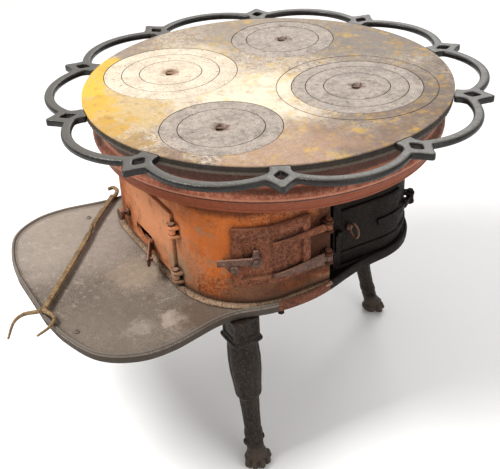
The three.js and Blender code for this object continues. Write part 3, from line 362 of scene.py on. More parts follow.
def add(tree: Tree, kind: str, inputs: dict, **settings: object) -> bpy.types.Node:
    """Adds a node, sets its properties and fills its sockets with links or values.

    Args:
        tree: Node tree of the material.
        kind: Node type without its ShaderNode prefix.
        inputs: Socket name or number to an output socket or a value.
        **settings: Properties of the node.

    Returns:
        The node.
    """
    node = tree.nodes.new(f"ShaderNode{kind}")
    for key, value in settings.items():
        setattr(node, key, value)
    for key, value in inputs.items():
        if isinstance(value, Socket):
            tree.links.new(value, node.inputs[key])
        else:
            node.inputs[key].default_value = value
    return node


@dataclass(frozen=True)
class Patch:
    """A stained or worn area round a point of the surface."""

    centre: Place
    radius: float
    colour: str
    strength: float = 1.0
    ragged: float = 0.6


@dataclass(frozen=True)
class Band:
    """A colour between two heights, such as a painted shadow under a rim, a painted highlight on a moulding
    and dirt along a foot.
    """

    low: float
    high: float
    colour: str
    strength: float = 1.0
    soft: float = 3.0


@dataclass(frozen=True)
class Iron:
    """Sand-cast iron under age: two broad tones, a mottle, stains, fine specks, painted crevice shade that
    also stands for dirt, a painted highlight with wear on upward faces, and pitting.
    """

    name: str
    slot: str
    base: str
    deep: str
    pale: str
    speck: str
    tone_mm: float = 90.0
    mottle_mm: float = 9.0
    speck_mm: float = 3.2
    deep_share: float = 0.5
    pale_share: float = 0.45
    speck_share: float = 0.3
    pale_strength: float = 0.6
    roughness: float = 0.7
    sheen: float = 0.3
    pit_mm: float = 0.8
    # Colour and reach of the painted shade in crevices, which also stands for dirt.
    crevice_shade_and_dirt: str = "120C08"
    crevice_shade_mm: float = 9.0
    patches: tuple[Patch, ...] = ()
    bands: tuple[Band, ...] = ()
    # Colour painted on faces that look upwards, as a highlight and wear; empty for none.
    top_highlight_and_wear: str = ""

    def material(self) -> bpy.types.Material:
        """Builds the finish's node material."""
        made = bpy.data.materials.new(self.name)
        made.use_nodes = True
        tree = made.node_tree
        shader = tree.nodes["Principled BSDF"]
        place = add(tree, "TexCoord", {}).outputs["Object"]
        colour = self._tones(tree, place)
        if self.top_highlight_and_wear:
            colour = self._top_highlight_and_wear(tree, colour)
        colour = self._stains(tree, place, colour)
        colour = self._belts(tree, place, colour)
        colour = self._crevice_shade_and_dirt(tree, colour)
        tree.links.new(colour, shader.inputs["Base Color"])
        self._skin(tree, place, shader)
        shader.inputs["Specular IOR Level"].default_value = self.sheen
        return made

    def _blotches(self, tree: Tree, place: Socket, grain: float, detail: float) -> Socket:
        """Irregular blotches, the broadest of them one grain wide, in mm."""
        sockets = {"Vector": place, "Scale": 1 / (grain * MM), "Detail": detail, "Roughness": 0.62}
        return add(tree, "TexNoise", sockets).outputs["Fac"]

    def _laid(self, tree: Tree, mask: Socket, under: object, over: object) -> Socket:
        """Lays one colour over another through a mask."""
        return add(tree, "Mix", {0: mask, 6: under, 7: over}, data_type="RGBA").outputs[2]

    def _covering(self, tree: Tree, blotches: Socket, share: float, soft: float) -> Socket:
        """Keeps the blotches that cover about the given share of the surface."""
        edge = 0.5 + (0.5 - share) * 0.36
        sockets = {"Value": blotches, "From Min": edge - soft, "From Max": edge + soft}
        return add(tree, "MapRange", sockets, interpolation_type="SMOOTHSTEP").outputs[0]

    def _tones(self, tree: Tree, place: Socket) -> Socket:
        """Base colour with its deep drifts, pale mottle and fine specks."""
        broad = self._covering(tree, self._blotches(tree, place, self.tone_mm, 5), self.deep_share, 0.14)
        colour = self._laid(tree, broad, linear(self.base), linear(self.deep))
        mottle = self._covering(tree, self._blotches(tree, place, self.mottle_mm, 9), self.pale_share, 0.16)
        mottle = add(tree, "Math", {0: mottle, 1: self.pale_strength}, operation="MULTIPLY").outputs[0]
        colour = self._laid(tree, mottle, colour, linear(self.pale))
        speck = self._covering(tree, self._blotches(tree, place, self.speck_mm, 3), self.speck_share, 0.07)
        speck = add(tree, "Math", {0: speck, 1: 0.8}, operation="MULTIPLY").outputs[0]
        return self._laid(tree, speck, colour, linear(self.speck))

    def _top_highlight_and_wear(self, tree: Tree, colour: Socket) -> Socket:
        """Faces that look upwards are painted lighter: a painted highlight that also stands for rubbing and
        dust.
        """
        normal = add(tree, "TexCoord", {}).outputs["Normal"]
        up = add(tree, "SeparateXYZ", {0: normal}).outputs[2]
        sockets = {"Value": up, "From Min": 0.55, "From Max": 0.98, "To Max": 0.85}
        mask = add(tree, "MapRange", sockets, interpolation_type="SMOOTHSTEP").outputs[0]
        return self._laid(tree, mask, colour, linear(self.top_highlight_and_wear))

    def _stains(self, tree: Tree, place: Socket, colour: Socket) -> Socket:
        """Each patch fades out from its centre, with an edge broken up by noise."""
        for patch in self.patches:
            centre = tuple(v * MM for v in patch.centre)
            centre = (centre[0] + AXIS.x, centre[1] + AXIS.y, centre[2])
            away = add(tree, "VectorMath", {0: place, 1: centre}, operation="DISTANCE").outputs["Value"]
            fade = {"Value": away, "From Min": patch.radius * MM, "From Max": 0.0}
            near = add(tree, "MapRange", fade).outputs[0]
            rough = self._blotches(tree, place, patch.radius * 0.4, 8)
            reach = {0: rough, 1: 2.4 * patch.ragged, 2: -1.2 * patch.ragged}
            spread = add(tree, "Math", reach, operation="MULTIPLY_ADD").outputs[0]
            total = add(tree, "Math", {0: near, 1: spread}, operation="ADD").outputs[0]
            sockets = {"Value": total, "From Min": 0.1, "From Max": 0.7, "To Max": patch.strength}
            mask = add(tree, "MapRange", sockets, interpolation_type="SMOOTHSTEP").outputs[0]
            colour = self._laid(tree, mask, colour, linear(patch.colour))
        return colour

    def _belts(self, tree: Tree, place: Socket, colour: Socket) -> Socket:
        """Each band colours what lies between two heights, with an edge that noise makes wander."""
        height = add(tree, "SeparateXYZ", {0: place}).outputs[2]
        for band in self.bands:
            wander = self._blotches(tree, place, 14.0, 6)
            soft = band.soft * MM
            sockets = {0: wander, 1: 2 * soft, 2: height}
            level = add(tree, "Math", sockets, operation="MULTIPLY_ADD").outputs[0]
            low, high = band.low * MM + soft, band.high * MM + soft
            rise = {"Value": level, "From Min": low - soft, "From Max": low + soft}
            fall = {"Value": level, "From Min": high + soft, "From Max": high - soft, "To Max": band.strength}
            above, below = (add(tree, "MapRange", sockets).outputs[0] for sockets in (rise, fall))
            mask = add(tree, "Math", {0: above, 1: below}, operation="MULTIPLY").outputs[0]
            colour = self._laid(tree, mask, colour, linear(band.colour))
        return colour

    def _crevice_shade_and_dirt(self, tree: Tree, colour: Socket) -> Socket:
        """Painted shade, standing also for dirt, darkens where the surface is shut in by its neighbours."""
        shut = add(tree, "AmbientOcclusion", {"Distance": self.crevice_shade_mm * MM}, samples=6).outputs["AO"]
        sockets = {"Value": shut, "From Min": 0.92, "From Max": 0.35, "To Max": 0.85}
        mask = add(tree, "MapRange", sockets).outputs[0]
        return self._laid(tree, mask, colour, linear(self.crevice_shade_and_dirt))

    def _skin(self, tree: Tree, place: Socket, shader: bpy.types.Node) -> None:
        """Roughness that drifts with the wear, and a bump of casting grain and rust pits."""
        drift = self._blotches(tree, place, self.mottle_mm * 1.5, 6)
        swing = 0.12
        ends = {"To Min": self.roughness - swing, "To Max": self.roughness + swing}
        dull = add(tree, "MapRange", {"Value": drift, "From Min": 0.3, "From Max": 0.7, **ends})
        tree.links.new(dull.outputs[0], shader.inputs["Roughness"])
        grain = self._blotches(tree, place, 4.0, 6)
        pits = add(tree, "TexVoronoi", {"Vector": place, "Scale": 1 / (5.0 * MM)}).outputs["Distance"]
        height = add(tree, "Math", {0: pits, 1: 0.5, 2: grain}, operation="MULTIPLY_ADD").outputs[0]
        bump = add(tree, "Bump", {"Height": height, "Distance": self.pit_mm * MM, "Strength": 0.8})
        tree.links.new(bump.outputs[0], shader.inputs["Normal"])


def top_patches() -> tuple[Patch, ...]:
    """Stains of the cooking plate: ochre along one edge, bleached cream, grey and pink scale."""
    return (
        Patch((-300, 130, 700), 270, "8F8377", 0.8),
        Patch((-60, 330, 700), 300, "7C726A", 0.85),
        Patch((260, 230, 700), 270, "6A5D54", 0.9),
        Patch((350, 40, 700), 200, "735D51", 0.85, 0.8),
        Patch((300, -150, 700), 190, "A3826B", 0.75, 0.8),
        Patch((60, -60, 700), 230, "E2D2BA", 0.9),
        Patch((-150, -140, 700), 220, "D3C3A9", 0.85),
        Patch((-320, -150, 700), 130, "85766A", 0.8, 1.0),
        Patch((-40, -300, 700), 150, "C4A873", 0.75, 0.9),
        Patch((-250, -262, 700), 90, "D0A93A", 0.9, 0.8),
        Patch((-160, -325, 700), 95, "D3AC3C", 0.95, 0.8),
        Patch((-70, -352, 700), 85, "C99F3C", 0.9, 0.9),
        Patch((20, -362, 700), 75, "B98F3E", 0.85, 1.0),
        Patch((110, -352, 700), 60, "97794A", 0.8, 1.0),
        Patch((200, -312, 700), 70, "7A5F4B", 0.7, 1.0),
    )


def lid_rust(colour: str, radius: float) -> tuple[Patch, ...]:
    """Rust about the lifter pocket in the middle of each lid."""
    middles = ((-148, -143), (132, 127), (142, -184), (-178, 149))
    return tuple(Patch((x, y, 697), radius, colour, 0.85, 0.7) for x, y in middles)


def wall_patches() -> tuple[Patch, ...]:
    """The firebox's rust: bright where it is dry, brown at the foot and towards the oven."""
    return (
        Patch((20, -292, 500), 190, "E0986C", 0.85),
        Patch((200, -250, 520), 120, "C2672C", 0.75, 0.8),
        Patch((150, -280, 440), 90, "B08060", 0.5, 1.0),
        Patch((276, -50, 480), 150, "2E1A11", 0.9),
        Patch((250, -190, 400), 80, "5A4536", 0.75, 1.0),
        Patch((120, -290, 398), 80, "A08468", 0.7, 1.0),
        Patch((285, -120, 400), 90, "3A2116", 0.7, 0.8),
    )


def hearth_patches() -> tuple[Patch, ...]:
    """The hearth's scuffs: ash-pale by the door and along the neck, dark at the front edge."""
    return (
        Patch((-190, -400, 378), 260, "A3978B", 0.7, 0.25),
        Patch((40, -330, 378), 90, "A08E7A", 0.6, 0.6),
        Patch((215, -345, 378), 40, "BDAF9E", 0.5, 1.0),
        Patch((205, -415, 378), 36, "C2B6A8", 0.45, 1.0),
        Patch((235, -290, 378), 90, "5E4E41", 0.8, 0.6),
        Patch((180, -470, 378), 170, "74695D", 0.6, 0.4),
    )


RIM_SOOT = (Band(660, 697.4, "1B1511", 0.96, 1.2), Band(660, 686, "6A5C50", 0.6, 1.5))
# Drum bands: a painted shadow on the neck under the top, painted highlights on the shoulder's upper line and
# the bead's lip, painted shade under the bead, a darker stripe on the shoulder and darker rust on the lower
# wall.
DRUM_SHADE_AND_HIGHLIGHT_BANDS = (
    Band(650, 700, "3A1F14", 0.85, 4),
    Band(644, 650, "A4664C", 0.6, 1.0),
    Band(634, 643, "4E2817", 0.7, 2.0),
    Band(620.5, 626, "B97B60", 0.55, 1.0),
    Band(590, 615, "7A3716", 0.85, 2),
    Band(615.5, 620, "240F08", 0.85, 0.8),
)
# Wall bands: darker brown along the foot, and a painted shadow under the drum's lip at the head.
WALL_BANDS_WITH_PAINTED_SHADOW = (Band(380, 396, "5A4030", 0.75, 5), Band(574, 592, "3C1C10", 0.7, 5))
HEARTH_BELTS = (
    Band(355, 377, "3E3630", 0.9, 1.0),
    Band(380.9, 383.0, "4C443D", 0.8, 0.5),
    Band(383.2, 386, "6E655C", 0.8, 0.5),
)


class Finishes:
    """The stove's finishes, each named for what it is."""

    # Scorched plate: cream where the fire bleached it, grey and brown elsewhere, matt under its scale.
    top = Iron(
        name="burnt_cast_iron_plate", slot="top", base="A99A8C", deep="807267", pale="D6C6B0",
        speck="4A3E34", mottle_mm=10, speck_mm=3.6, deep_share=0.45, pale_strength=0.75, roughness=0.7,
        crevice_shade_and_dirt="241B14", crevice_shade_mm=4, patches=top_patches(), bands=RIM_SOOT,
    )
    # Rings and lids that stayed grey.
    ring_grey = Iron(
        name="grey_cast_iron_ring", slot="ring", base="9E9186", deep="83786E", pale="B9AC9E",
        speck="6A5D51", tone_mm=46, mottle_mm=12, speck_mm=4.0, speck_share=0.22, roughness=0.62,
        sheen=0.35, pit_mm=0.6, crevice_shade_and_dirt="2A211A", crevice_shade_mm=5, patches=lid_rust("5F4130", 26),
    )
    # Rings and lids that heat has bleached, over the fire.
    ring_cream = Iron(
        name="bleached_cast_iron_ring", slot="ring", base="D6C6AF", deep="B9A892", pale="EBDDC8",
        speck="94806A", tone_mm=50, mottle_mm=12, speck_mm=4.0, deep_share=0.45, speck_share=0.22,
        roughness=0.68, pit_mm=0.6, crevice_shade_and_dirt="4A3828", crevice_shade_mm=5, patches=lid_rust("80583A", 30),
    )
    # Rail kept black by hands, with a painted highlight along its upper face.
    rail = Iron(
        name="blackened_cast_iron_rail", slot="rail", base="1C1916", deep="100E0C", pale="2E2A26",
        speck="0C0A09", tone_mm=70, mottle_mm=7, speck_mm=3.0, pale_share=0.4, pale_strength=0.5,
        roughness=0.34, sheen=0.35, crevice_shade_and_dirt="050404", crevice_shade_mm=8, top_highlight_and_wear="5C5852",
    )
    # Orange rust with dark pits over the firebox, and a painted shadow under the drum's lip.
    rust = Iron(
        name="orange_rusted_cast_iron", slot="rust", base="A8562A", deep="83401C", pale="C07A4A",
        speck="3E2012", tone_mm=80, speck_share=0.32, roughness=0.8, sheen=0.2, pit_mm=1.2, crevice_shade_and_dirt="180B06",
        crevice_shade_mm=10, patches=wall_patches(), bands=WALL_BANDS_WITH_PAINTED_SHADOW,
    )
    # Rosier, smoother rust, with painted shade in the mouldings' creases and under the top, and painted
    # highlights on their edges.
    drum = Iron(
        name="rose_rusted_cast_iron", slot="rust", base="8E4A30", deep="70361D", pale="B57A60",
        speck="3A1C11", tone_mm=100, pale_share=0.4, speck_share=0.28, roughness=0.55, pit_mm=0.9,
        crevice_shade_and_dirt="150A05", crevice_shade_mm=12, bands=DRUM_SHADE_AND_HIGHLIGHT_BANDS,
    )
    # Dark brown rust on inner and small castings, painted lighter on upward faces as a highlight and wear.
    brown = Iron(
        name="brown_rusted_cast_iron", slot="rust", base="643825", deep="472618", pale="84533D",
        speck="23130C", tone_mm=60, mottle_mm=8, speck_mm=3.0, pale_share=0.4, roughness=0.75, sheen=0.25,
        pit_mm=1.0, crevice_shade_and_dirt="120A06", crevice_shade_mm=9, top_highlight_and_wear="7A5542",
    )
    # Umber rust on the loading door, painted paler on its upper faces as a highlight and wear.
    brown_door = Iron(
        name="umber_rusted_cast_iron", slot="rust", base="74402A", deep="582E1C", pale="955F42",
        speck="2A160E", tone_mm=50, mottle_mm=8, speck_mm=3.0, pale_share=0.4, speck_share=0.32,
        roughness=0.75, sheen=0.25, pit_mm=1.0, crevice_shade_and_dirt="100704", crevice_shade_mm=12, top_highlight_and_wear="A87458",
    )
    # Black oven iron that swallows light.
    black = Iron(
        name="old_black_cast_iron", slot="black", base="14100C", deep="0C0907", pale="241C15",
        speck="32231A", tone_mm=70, speck_mm=3.4, pale_share=0.3, speck_share=0.24, pale_strength=0.5,
        roughness=0.6, sheen=0.1, pit_mm=1.2, crevice_shade_and_dirt="040302", crevice_shade_mm=9,
    )
    # Black legs, dusty about the paws.
    leg = Iron(
        name="worn_black_cast_iron", slot="black", base="1C1611", deep="110D0A", pale="352B22",
        speck="47372A", tone_mm=40, mottle_mm=8, pale_share=0.35, speck_share=0.28, pale_strength=0.5,
        roughness=0.55, sheen=0.18, pit_mm=1.1, crevice_shade_and_dirt="050403", crevice_shade_mm=10,
        bands=(Band(0, 46, "51453C", 0.6, 10),),
    )
    # Dull taupe hearth, scuffed pale and dark at its rim.
    hearth = Iron(
        name="ash_dulled_cast_iron", slot="hearth", base="7F7368", deep="6B6055", pale="94877A",
        speck="453C34", tone_mm=140, mottle_mm=12, speck_mm=3.0, pale_share=0.4, speck_share=0.34,
        pale_strength=0.35, roughness=0.75, sheen=0.2, crevice_shade_and_dirt="1D1713", crevice_shade_mm=8, patches=hearth_patches(),
        bands=HEARTH_BELTS,
    )
    # Ash caught along the foot of the firebox.
    foot = Iron(
        name="dusty_cast_iron_foot", slot="rust", base="94785F", deep="6E5645", pale="B39A80",
        speck="3C2A1E", tone_mm=60, speck_share=0.32, roughness=0.8, sheen=0.2, pit_mm=1.0, crevice_shade_and_dirt="1A100A",
        crevice_shade_mm=8,
    )
    # Small fittings, brown, painted lighter on top as a highlight and wear.
    fitting = Iron(
        name="rubbed_iron_fitting", slot="iron", base="5E3E30", deep="402A20", pale="8A6452",
        speck="23150F", tone_mm=24, mottle_mm=6, speck_mm=2.6, pale_share=0.35, speck_share=0.28,
        roughness=0.5, pit_mm=0.6, crevice_shade_and_dirt="0F0805", crevice_shade_mm=8, top_highlight_and_wear="A07C68",
    )
    # Tan rust on the wrought poker.
    poker = Iron(
        name="tan_rusted_wrought_iron", slot="poker", base="8A6F4C", deep="5F4830", pale="AD9066",
        speck="3D2E20", tone_mm=30, mottle_mm=6, speck_mm=2.6, pale_share=0.4, roughness=0.6, pit_mm=0.6,
        crevice_shade_and_dirt="1E150D", crevice_shade_mm=6,
    )


MATERIALS: dict[str, bpy.types.Material] = {}


def dress(
    piece: Piece, finish: Iron, body: str, replaced: tuple[str, ...] = (), angle: float = 40.0
) -> Piece:
    """Gives a finished piece its material, shading and body, and hides the CAD nodes that it stands for.

    Args:
        piece: The object to finish.
        finish: Its finish.
        body: Name of the rigid body that it rides on.
        replaced: CAD nodes that it stands for.
        angle: Edges sharper than this, in degrees, stay crisp.

    Returns:
        The same object.
    """
    if finish.name not in MATERIALS:
        MATERIALS[finish.name] = finish.material()
    piece.data.materials.clear()
    piece.data.materials.append(MATERIALS[finish.name])
    piece.data.shade_smooth()
    piece.data.set_sharp_from_angle(angle=math.radians(angle))
    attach(piece, body)
    if replaced:
        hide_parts(*replaced)
    log.info("%s: %d faces on %s", piece.name, len(piece.data.polygons), body)
    return piece


# ---------------------------------------------------------------- plan lines of the casing


def firebox_path(offset: float, samples: int = 40) -> tuple[Points, Points]:
    """Outer plan of the firebox from its rear right edge round the front to its rear left edge.

    Straight sides, quarter-circle corners and a flat front, moved outwards by an offset.

    Args:
        offset: Distance outside the wall face, in mm.
        samples: Points on each corner.

    Returns:
        Plan points and their outward directions.
    """
    turn = np.linspace(0.0, -np.pi / 2, samples)
    centre = np.array([FIREBOX_HALF - FIREBOX_CORNER, FIREBOX_FRONT + FIREBOX_CORNER])
    out = np.stack([np.cos(turn), np.sin(turn)], -1)
    right = centre + (FIREBOX_CORNER + offset) * out
    side = np.array([[FIREBOX_HALF + offset, y] for y in np.linspace(FIREBOX_REAR, centre[1] - 1e-3, 8)[:-1]])
    half = np.vstack([side, right])
    normal = np.vstack([np.tile([1.0, 0.0], (len(side), 1)), out])
    mirror = np.array([-1.0, 1.0])
    return np.vstack([half, half[::-1] * mirror]), np.vstack([normal, normal[::-1] * mirror])


def oven_path(offset: float, samples: int = 32) -> tuple[Points, Points]:
    """Outer plan of the oven from its front right edge round the rear to its front left edge."""
    turn = np.linspace(0.0, np.pi / 2, samples)
    centre = np.array([OVEN_HALF - OVEN_CORNER, OVEN_REAR - OVEN_CORNER])
    out = np.stack([np.cos(turn), np.sin(turn)], -1)
    right = centre + (OVEN_CORNER + offset) * out
    reach = np.linspace(FIREBOX_REAR + 0.3, centre[1] - 1e-3, 8)[:-1]
    side = np.array([[OVEN_HALF + offset, y] for y in reach])
    half = np.vstack([side, right])
    normal = np.vstack([np.tile([1.0, 0.0], (len(side), 1)), out])
    mirror = np.array([-1.0, 1.0])
    return np.vstack([half, half[::-1] * mirror]), np.vstack([normal, normal[::-1] * mirror])


def walled(name: str, path: tuple[Points, Points], section: ArrayLike) -> Piece:
    """Carries an (outwards, up) section along a plan path and closes its two ends.

    Args:
        name: Object name.
        path: Plan points and outward directions.
        section: Closed section in mm.

    Returns:
        The wall or moulding.
    """
    plan, normal = path
    ring = np.asarray(section, float)
    flat = plan[:, None] + normal[:, None] * ring[None, :, :1]
    height = np.broadcast_to(ring[None, :, 1:], flat.shape[:2] + (1,))
    grid = np.concatenate([flat, height], -1)
    centre = grid.mean(1, keepdims=True)
    poles = [np.repeat(centre[i][None], len(ring), 1) for i in (0, -1)]
    return surface(name, np.concatenate([poles[0], grid, poles[1]], 0), wrap_columns=True)


def block(name: str, low: ArrayLike, high: ArrayLike, edge: float = 1.2) -> Piece:
    """A box with eased edges between two corners."""
    (x0, y0, z0), (x1, y1, z1) = low, high
    outline = fillet([[x0, y0], [x1, y0], [x1, y1], [x0, y1]], edge, 3)
    return prism(name, outline, z0, z1, edge)


def teardrop(pivot: ArrayLike, back: ArrayLike, radius: float, samples: int = 40) -> Points:
    """A circle pulled out towards a point of the wall: the plan of a hinge lug."""
    angle = np.linspace(0, 2 * np.pi, samples, endpoint=False)
    out = np.stack([np.cos(angle), np.sin(angle)], -1)
    reach = np.asarray(back, float) - np.asarray(pivot, float)
    pull = np.clip(out @ (reach / np.linalg.norm(reach)), 0, 1) ** 0.5
    return np.asarray(pivot, float) + out * radius + pull[:, None] * reach


# ---------------------------------------------------------------- sub-assemblies


@dataclass
class BaseCastings:
    """Bowed hearth, firebox base and oven base: one outline cut into three castings."""

    under: float = 370.0
    neck_line: tuple[Spot, ...] = (
        (80, -551), (153, -540), (232, -509), (275, -451), (284, -380), (265, -259),
        (289, -162), (291, -69), (262, 47), (253, 126),
    )
    corner: Spot = (121.0, 113.0)
    corner_radius: float = 132.0
    front: float = -551.0
    rear: float = 245.0
    hearth_joint: float = -159.0
    oven_joint: float = -38.0
    joint_gap: float = 0.3

    def outline(self) -> Points:
        """Closed plan: bowed hearth, drawn-in neck, wide middle and round rear corners."""
        side = spline(self.neck_line, 140)
        turn = np.radians(np.linspace(12, 90, 30))
        x, y = self.corner
        corner = np.stack([x + self.corner_radius * np.cos(turn), y + self.corner_radius * np.sin(turn)], -1)
        start = self.neck_line[0][0]
        front = np.stack([np.linspace(-start, start, 14)[1:-1], np.full(12, self.front)], -1)
        rear = np.stack([np.linspace(x, -x, 20)[1:-1], np.full(18, self.rear)], -1)
        half = np.vstack([side, corner])
        return np.vstack([front, half, rear, half[::-1] * [-1, 1]])

    def build(self) -> None:
        """Rows step in from the rim over its ogee and double bead, then shrink to the middle."""
        plan = self.outline()
        ahead = np.roll(plan, -1, 0) - np.roll(plan, 1, 0)
        ahead /= np.linalg.norm(ahead, axis=1, keepdims=True)
        inward = np.stack([-ahead[:, 1], ahead[:, 0]], -1)
        rim = [
            (10, self.under), (10, 362.6), (9, 362), (3, 362), (1.4, 363), (1.0, 366), (0.2, 369),
            (0, 373), (0, 380), (0.7, 382.6), (2.2, 384), (4.6, 384), (6.0, 382.8), (6.6, 380.6),
            (7.4, 379.6), (8.4, 380.2), (9.6, 380.2), (10.6, 379.2), (11.6, 378.1), (14, 378),
        ]
        rows = [np.column_stack([plan + inward * d, np.full(len(plan), z)]) for d, z in rim]
        shrink = np.linspace(1, 0, 26)[1:, None, None]
        middle = np.array([0.0, -170.0, 0.0])
        in_plan = np.array([1.0, 1.0, 0.0])
        low, high = (edge + (middle - edge) * (1 - shrink) * in_plan for edge in (rows[0], rows[-1]))
        grid = np.concatenate([low[::-1], np.stack(rows), high])
        whole = surface("base", grid, wrap_columns=True)
        far_off = 700.0
        cuts = {
            "hearth_casting": (-far_off, self.hearth_joint - self.joint_gap, "hearth_plate", Finishes.hearth),
            "firebox_base_casting": (
                self.hearth_joint, self.oven_joint - self.joint_gap, "firebox_base", Finishes.brown,
            ),
            "oven_base_casting": (self.oven_joint, far_off, "oven_base", Finishes.black),
        }
        for name, (near, far, node, finish) in cuts.items():
            dress(self.section(whole, name, near, far), finish, Body.STOVE.value, (node,))
        bpy.data.objects.remove(whole)
        foot = fillet([(-3, 377.6), (12, 377.6), (12, 380.6), (8, 382.4), (7, 384), (-3, 384)], 1.4, 4)
        dress(walled("firebox_foot", firebox_path(0.0), foot), Finishes.foot, Body.STOVE.value)
        dress(walled("oven_foot", oven_path(0.0), foot * [0.6, 1]), Finishes.black, Body.STOVE.value)

    def section(self, whole: Piece, name: str, near: float, far: float) -> Piece:
        """The stretch of the base between two joint planes, with closed ends."""
        work = bmesh.new()
        work.from_mesh(whole.data)
        for y, side in ((near, -1), (far, 1)):
            everything = work.verts[:] + work.edges[:] + work.faces[:]
            where = Vector((0, y * MM + AXIS.y, 0))
            facing = Vector((0, side, 0))
            done = bmesh.ops.bisect_plane(
                work, geom=everything, plane_co=where, plane_no=facing, clear_outer=True
            )
            edges = [e for e in done["geom_cut"] if isinstance(e, bmesh.types.BMEdge)]
            bmesh.ops.holes_fill(work, edges=edges, sides=0)
        bmesh.ops.recalc_face_normals(work, faces=work.faces)
        mesh = bpy.data.meshes.new(name)
        work.to_mesh(mesh)
        work.free()
        piece = bpy.data.objects.new(name, mesh)
        bpy.context.scene.collection.objects.link(piece)
        return piece


@dataclass
class Casing:
    """Firebox and oven walls, the pilasters between them, and the moulded drum."""

    lug_radius: float = 9.0

    def build(self) -> None:
        """Builds every wall casting."""
        self.firebox()
        self.oven()
        self.drum()
        for node in ("fire_back", "liner_left", "liner_right", "fire_grate", "pivot_bridge", "pivot_stud"):
            body = Body.TOP.value if node == "pivot_stud" else Body.STOVE.value
            dress(softened(node, 2.0), Finishes.brown, body, (node,))
        dress(softened("flue_collar", 2.0), Finishes.black, Body.STOVE.value, ("flue_collar",))

    def lugs(self, name: str, pivot: ArrayLike, back: ArrayLike, heights: tuple[float, ...]) -> list[Piece]:
        """Two ears above and below each knuckle."""
        made = []
        plan = teardrop(pivot, back, self.lug_radius)
        for i, z in enumerate(heights):
            made.append(prism(f"{name}_{i}a", plan, z + 6.3, z + 13.3, 1.4))
            made.append(prism(f"{name}_{i}b", plan, z - 13.3, z - 6.3, 1.4))
        return made

    def firebox(self) -> None:
        """Wall of even thickness with its two doorways and its hinge lugs."""
        section = fillet([(0, WALL_FOOT), (0, WALL_HEAD), (-WALL, WALL_HEAD), (-WALL, WALL_FOOT)], 1.0, 3)
        wall = walled("firebox_wall", firebox_path(0.0), section)
        doors = [
            block("cut_front", (-101, -320, 402), (101, -240, 527), 1.0),
            block("cut_side", (216, -217, 439), (296, -95, 541), 1.0),
        ]
        cut(wall, doors)
        lugs = self.lugs("front_lug", (128, -294.3), (134, -283), (508, 404.3))
        lugs += self.lugs("side_lug", (288, -46), (275, -49), (516, 446))
        dress(join("firebox_casting", [wall, *lugs]), Finishes.rust, Body.STOVE.value, ("firebox_shell",))

    def oven(self) -> None:
        """Wall with its doorway, flue hole, front flanges, pilasters and ledge."""
        section = fillet([(0, WALL_FOOT), (0, WALL_HEAD), (-WALL, WALL_HEAD), (-WALL, WALL_FOOT)], 1.0, 3)
        wall = walled("oven_wall", oven_path(0.0), section)
        flue = turned("cut_flue", [(0, -40), (70, -40), (70, 40), (0, 40)], 96)
        flue.data.transform(Matrix.Rotation(math.pi / 2, 4, "X"))
        flue.data.transform(Matrix.Translation((AXIS.x, AXIS.y + 0.22, 0.49)))
        cut(wall, [block("cut_oven", (186, 18, 429), (266, 147, 499), 1.0), flue])
        extra = []
        for side in (1, -1):
            x = sorted((side * 243, side * 257))
            extra.append(block(f"pilaster_{side}", (x[0], -14, WALL_FOOT), (x[1], 4, WALL_HEAD), 2.0))
            x = sorted((side * 243, side * 268))
            extra.append(block(f"flange_{side}", (x[0], -34.7, WALL_FOOT), (x[1], -27.7, WALL_HEAD), 1.5))
        back = np.array([OVEN_HALF - OVEN_CORNER, OVEN_REAR - OVEN_CORNER])
        out = np.array([math.cos(math.radians(49)), math.sin(math.radians(49))])
        pivot, root = (back + out * (OVEN_CORNER + step) for step in (12, -4))
        extra += self.lugs("oven_lug", pivot, root, (458,))
        ledge = fillet([(-2, 404), (1, 404), (4, 408), (4, 412), (1, 415), (-2, 415)], 1.2, 4)
        extra.append(walled("oven_ledge", oven_path(0.0), ledge))
        dress(join("oven_casting", [wall, *extra]), Finishes.black, Body.STOVE.value, ("oven_shell",))

    def drum(self) -> None:
        """Turned ring: bearing upstand, sloping shoulder, step, tapering band, lip and soffit."""
        profile = [
            (230, 590.7), (342, 590.7), (345, 592.5), (346.5, 596), (345.5, 598.5), (347.5, 601), (350, 610),
            (351.5, 615.5), (353.5, 617.2), (354, 619.5), (356.4, 621), (357.8, 624), (358, 628),
            (356.6, 632.5),
            (353.4, 636.5), (349.5, 641), (347.4, 645), (347, 650), (347, 690.4), (341, 690.4), (341, 597),
            (230, 597),
        ]
        rounded = fillet(profile, 1.2, 3)
        dress(turned("drum_casting", rounded, 256), Finishes.drum, Body.STOVE.value, ("cornice_drum",))


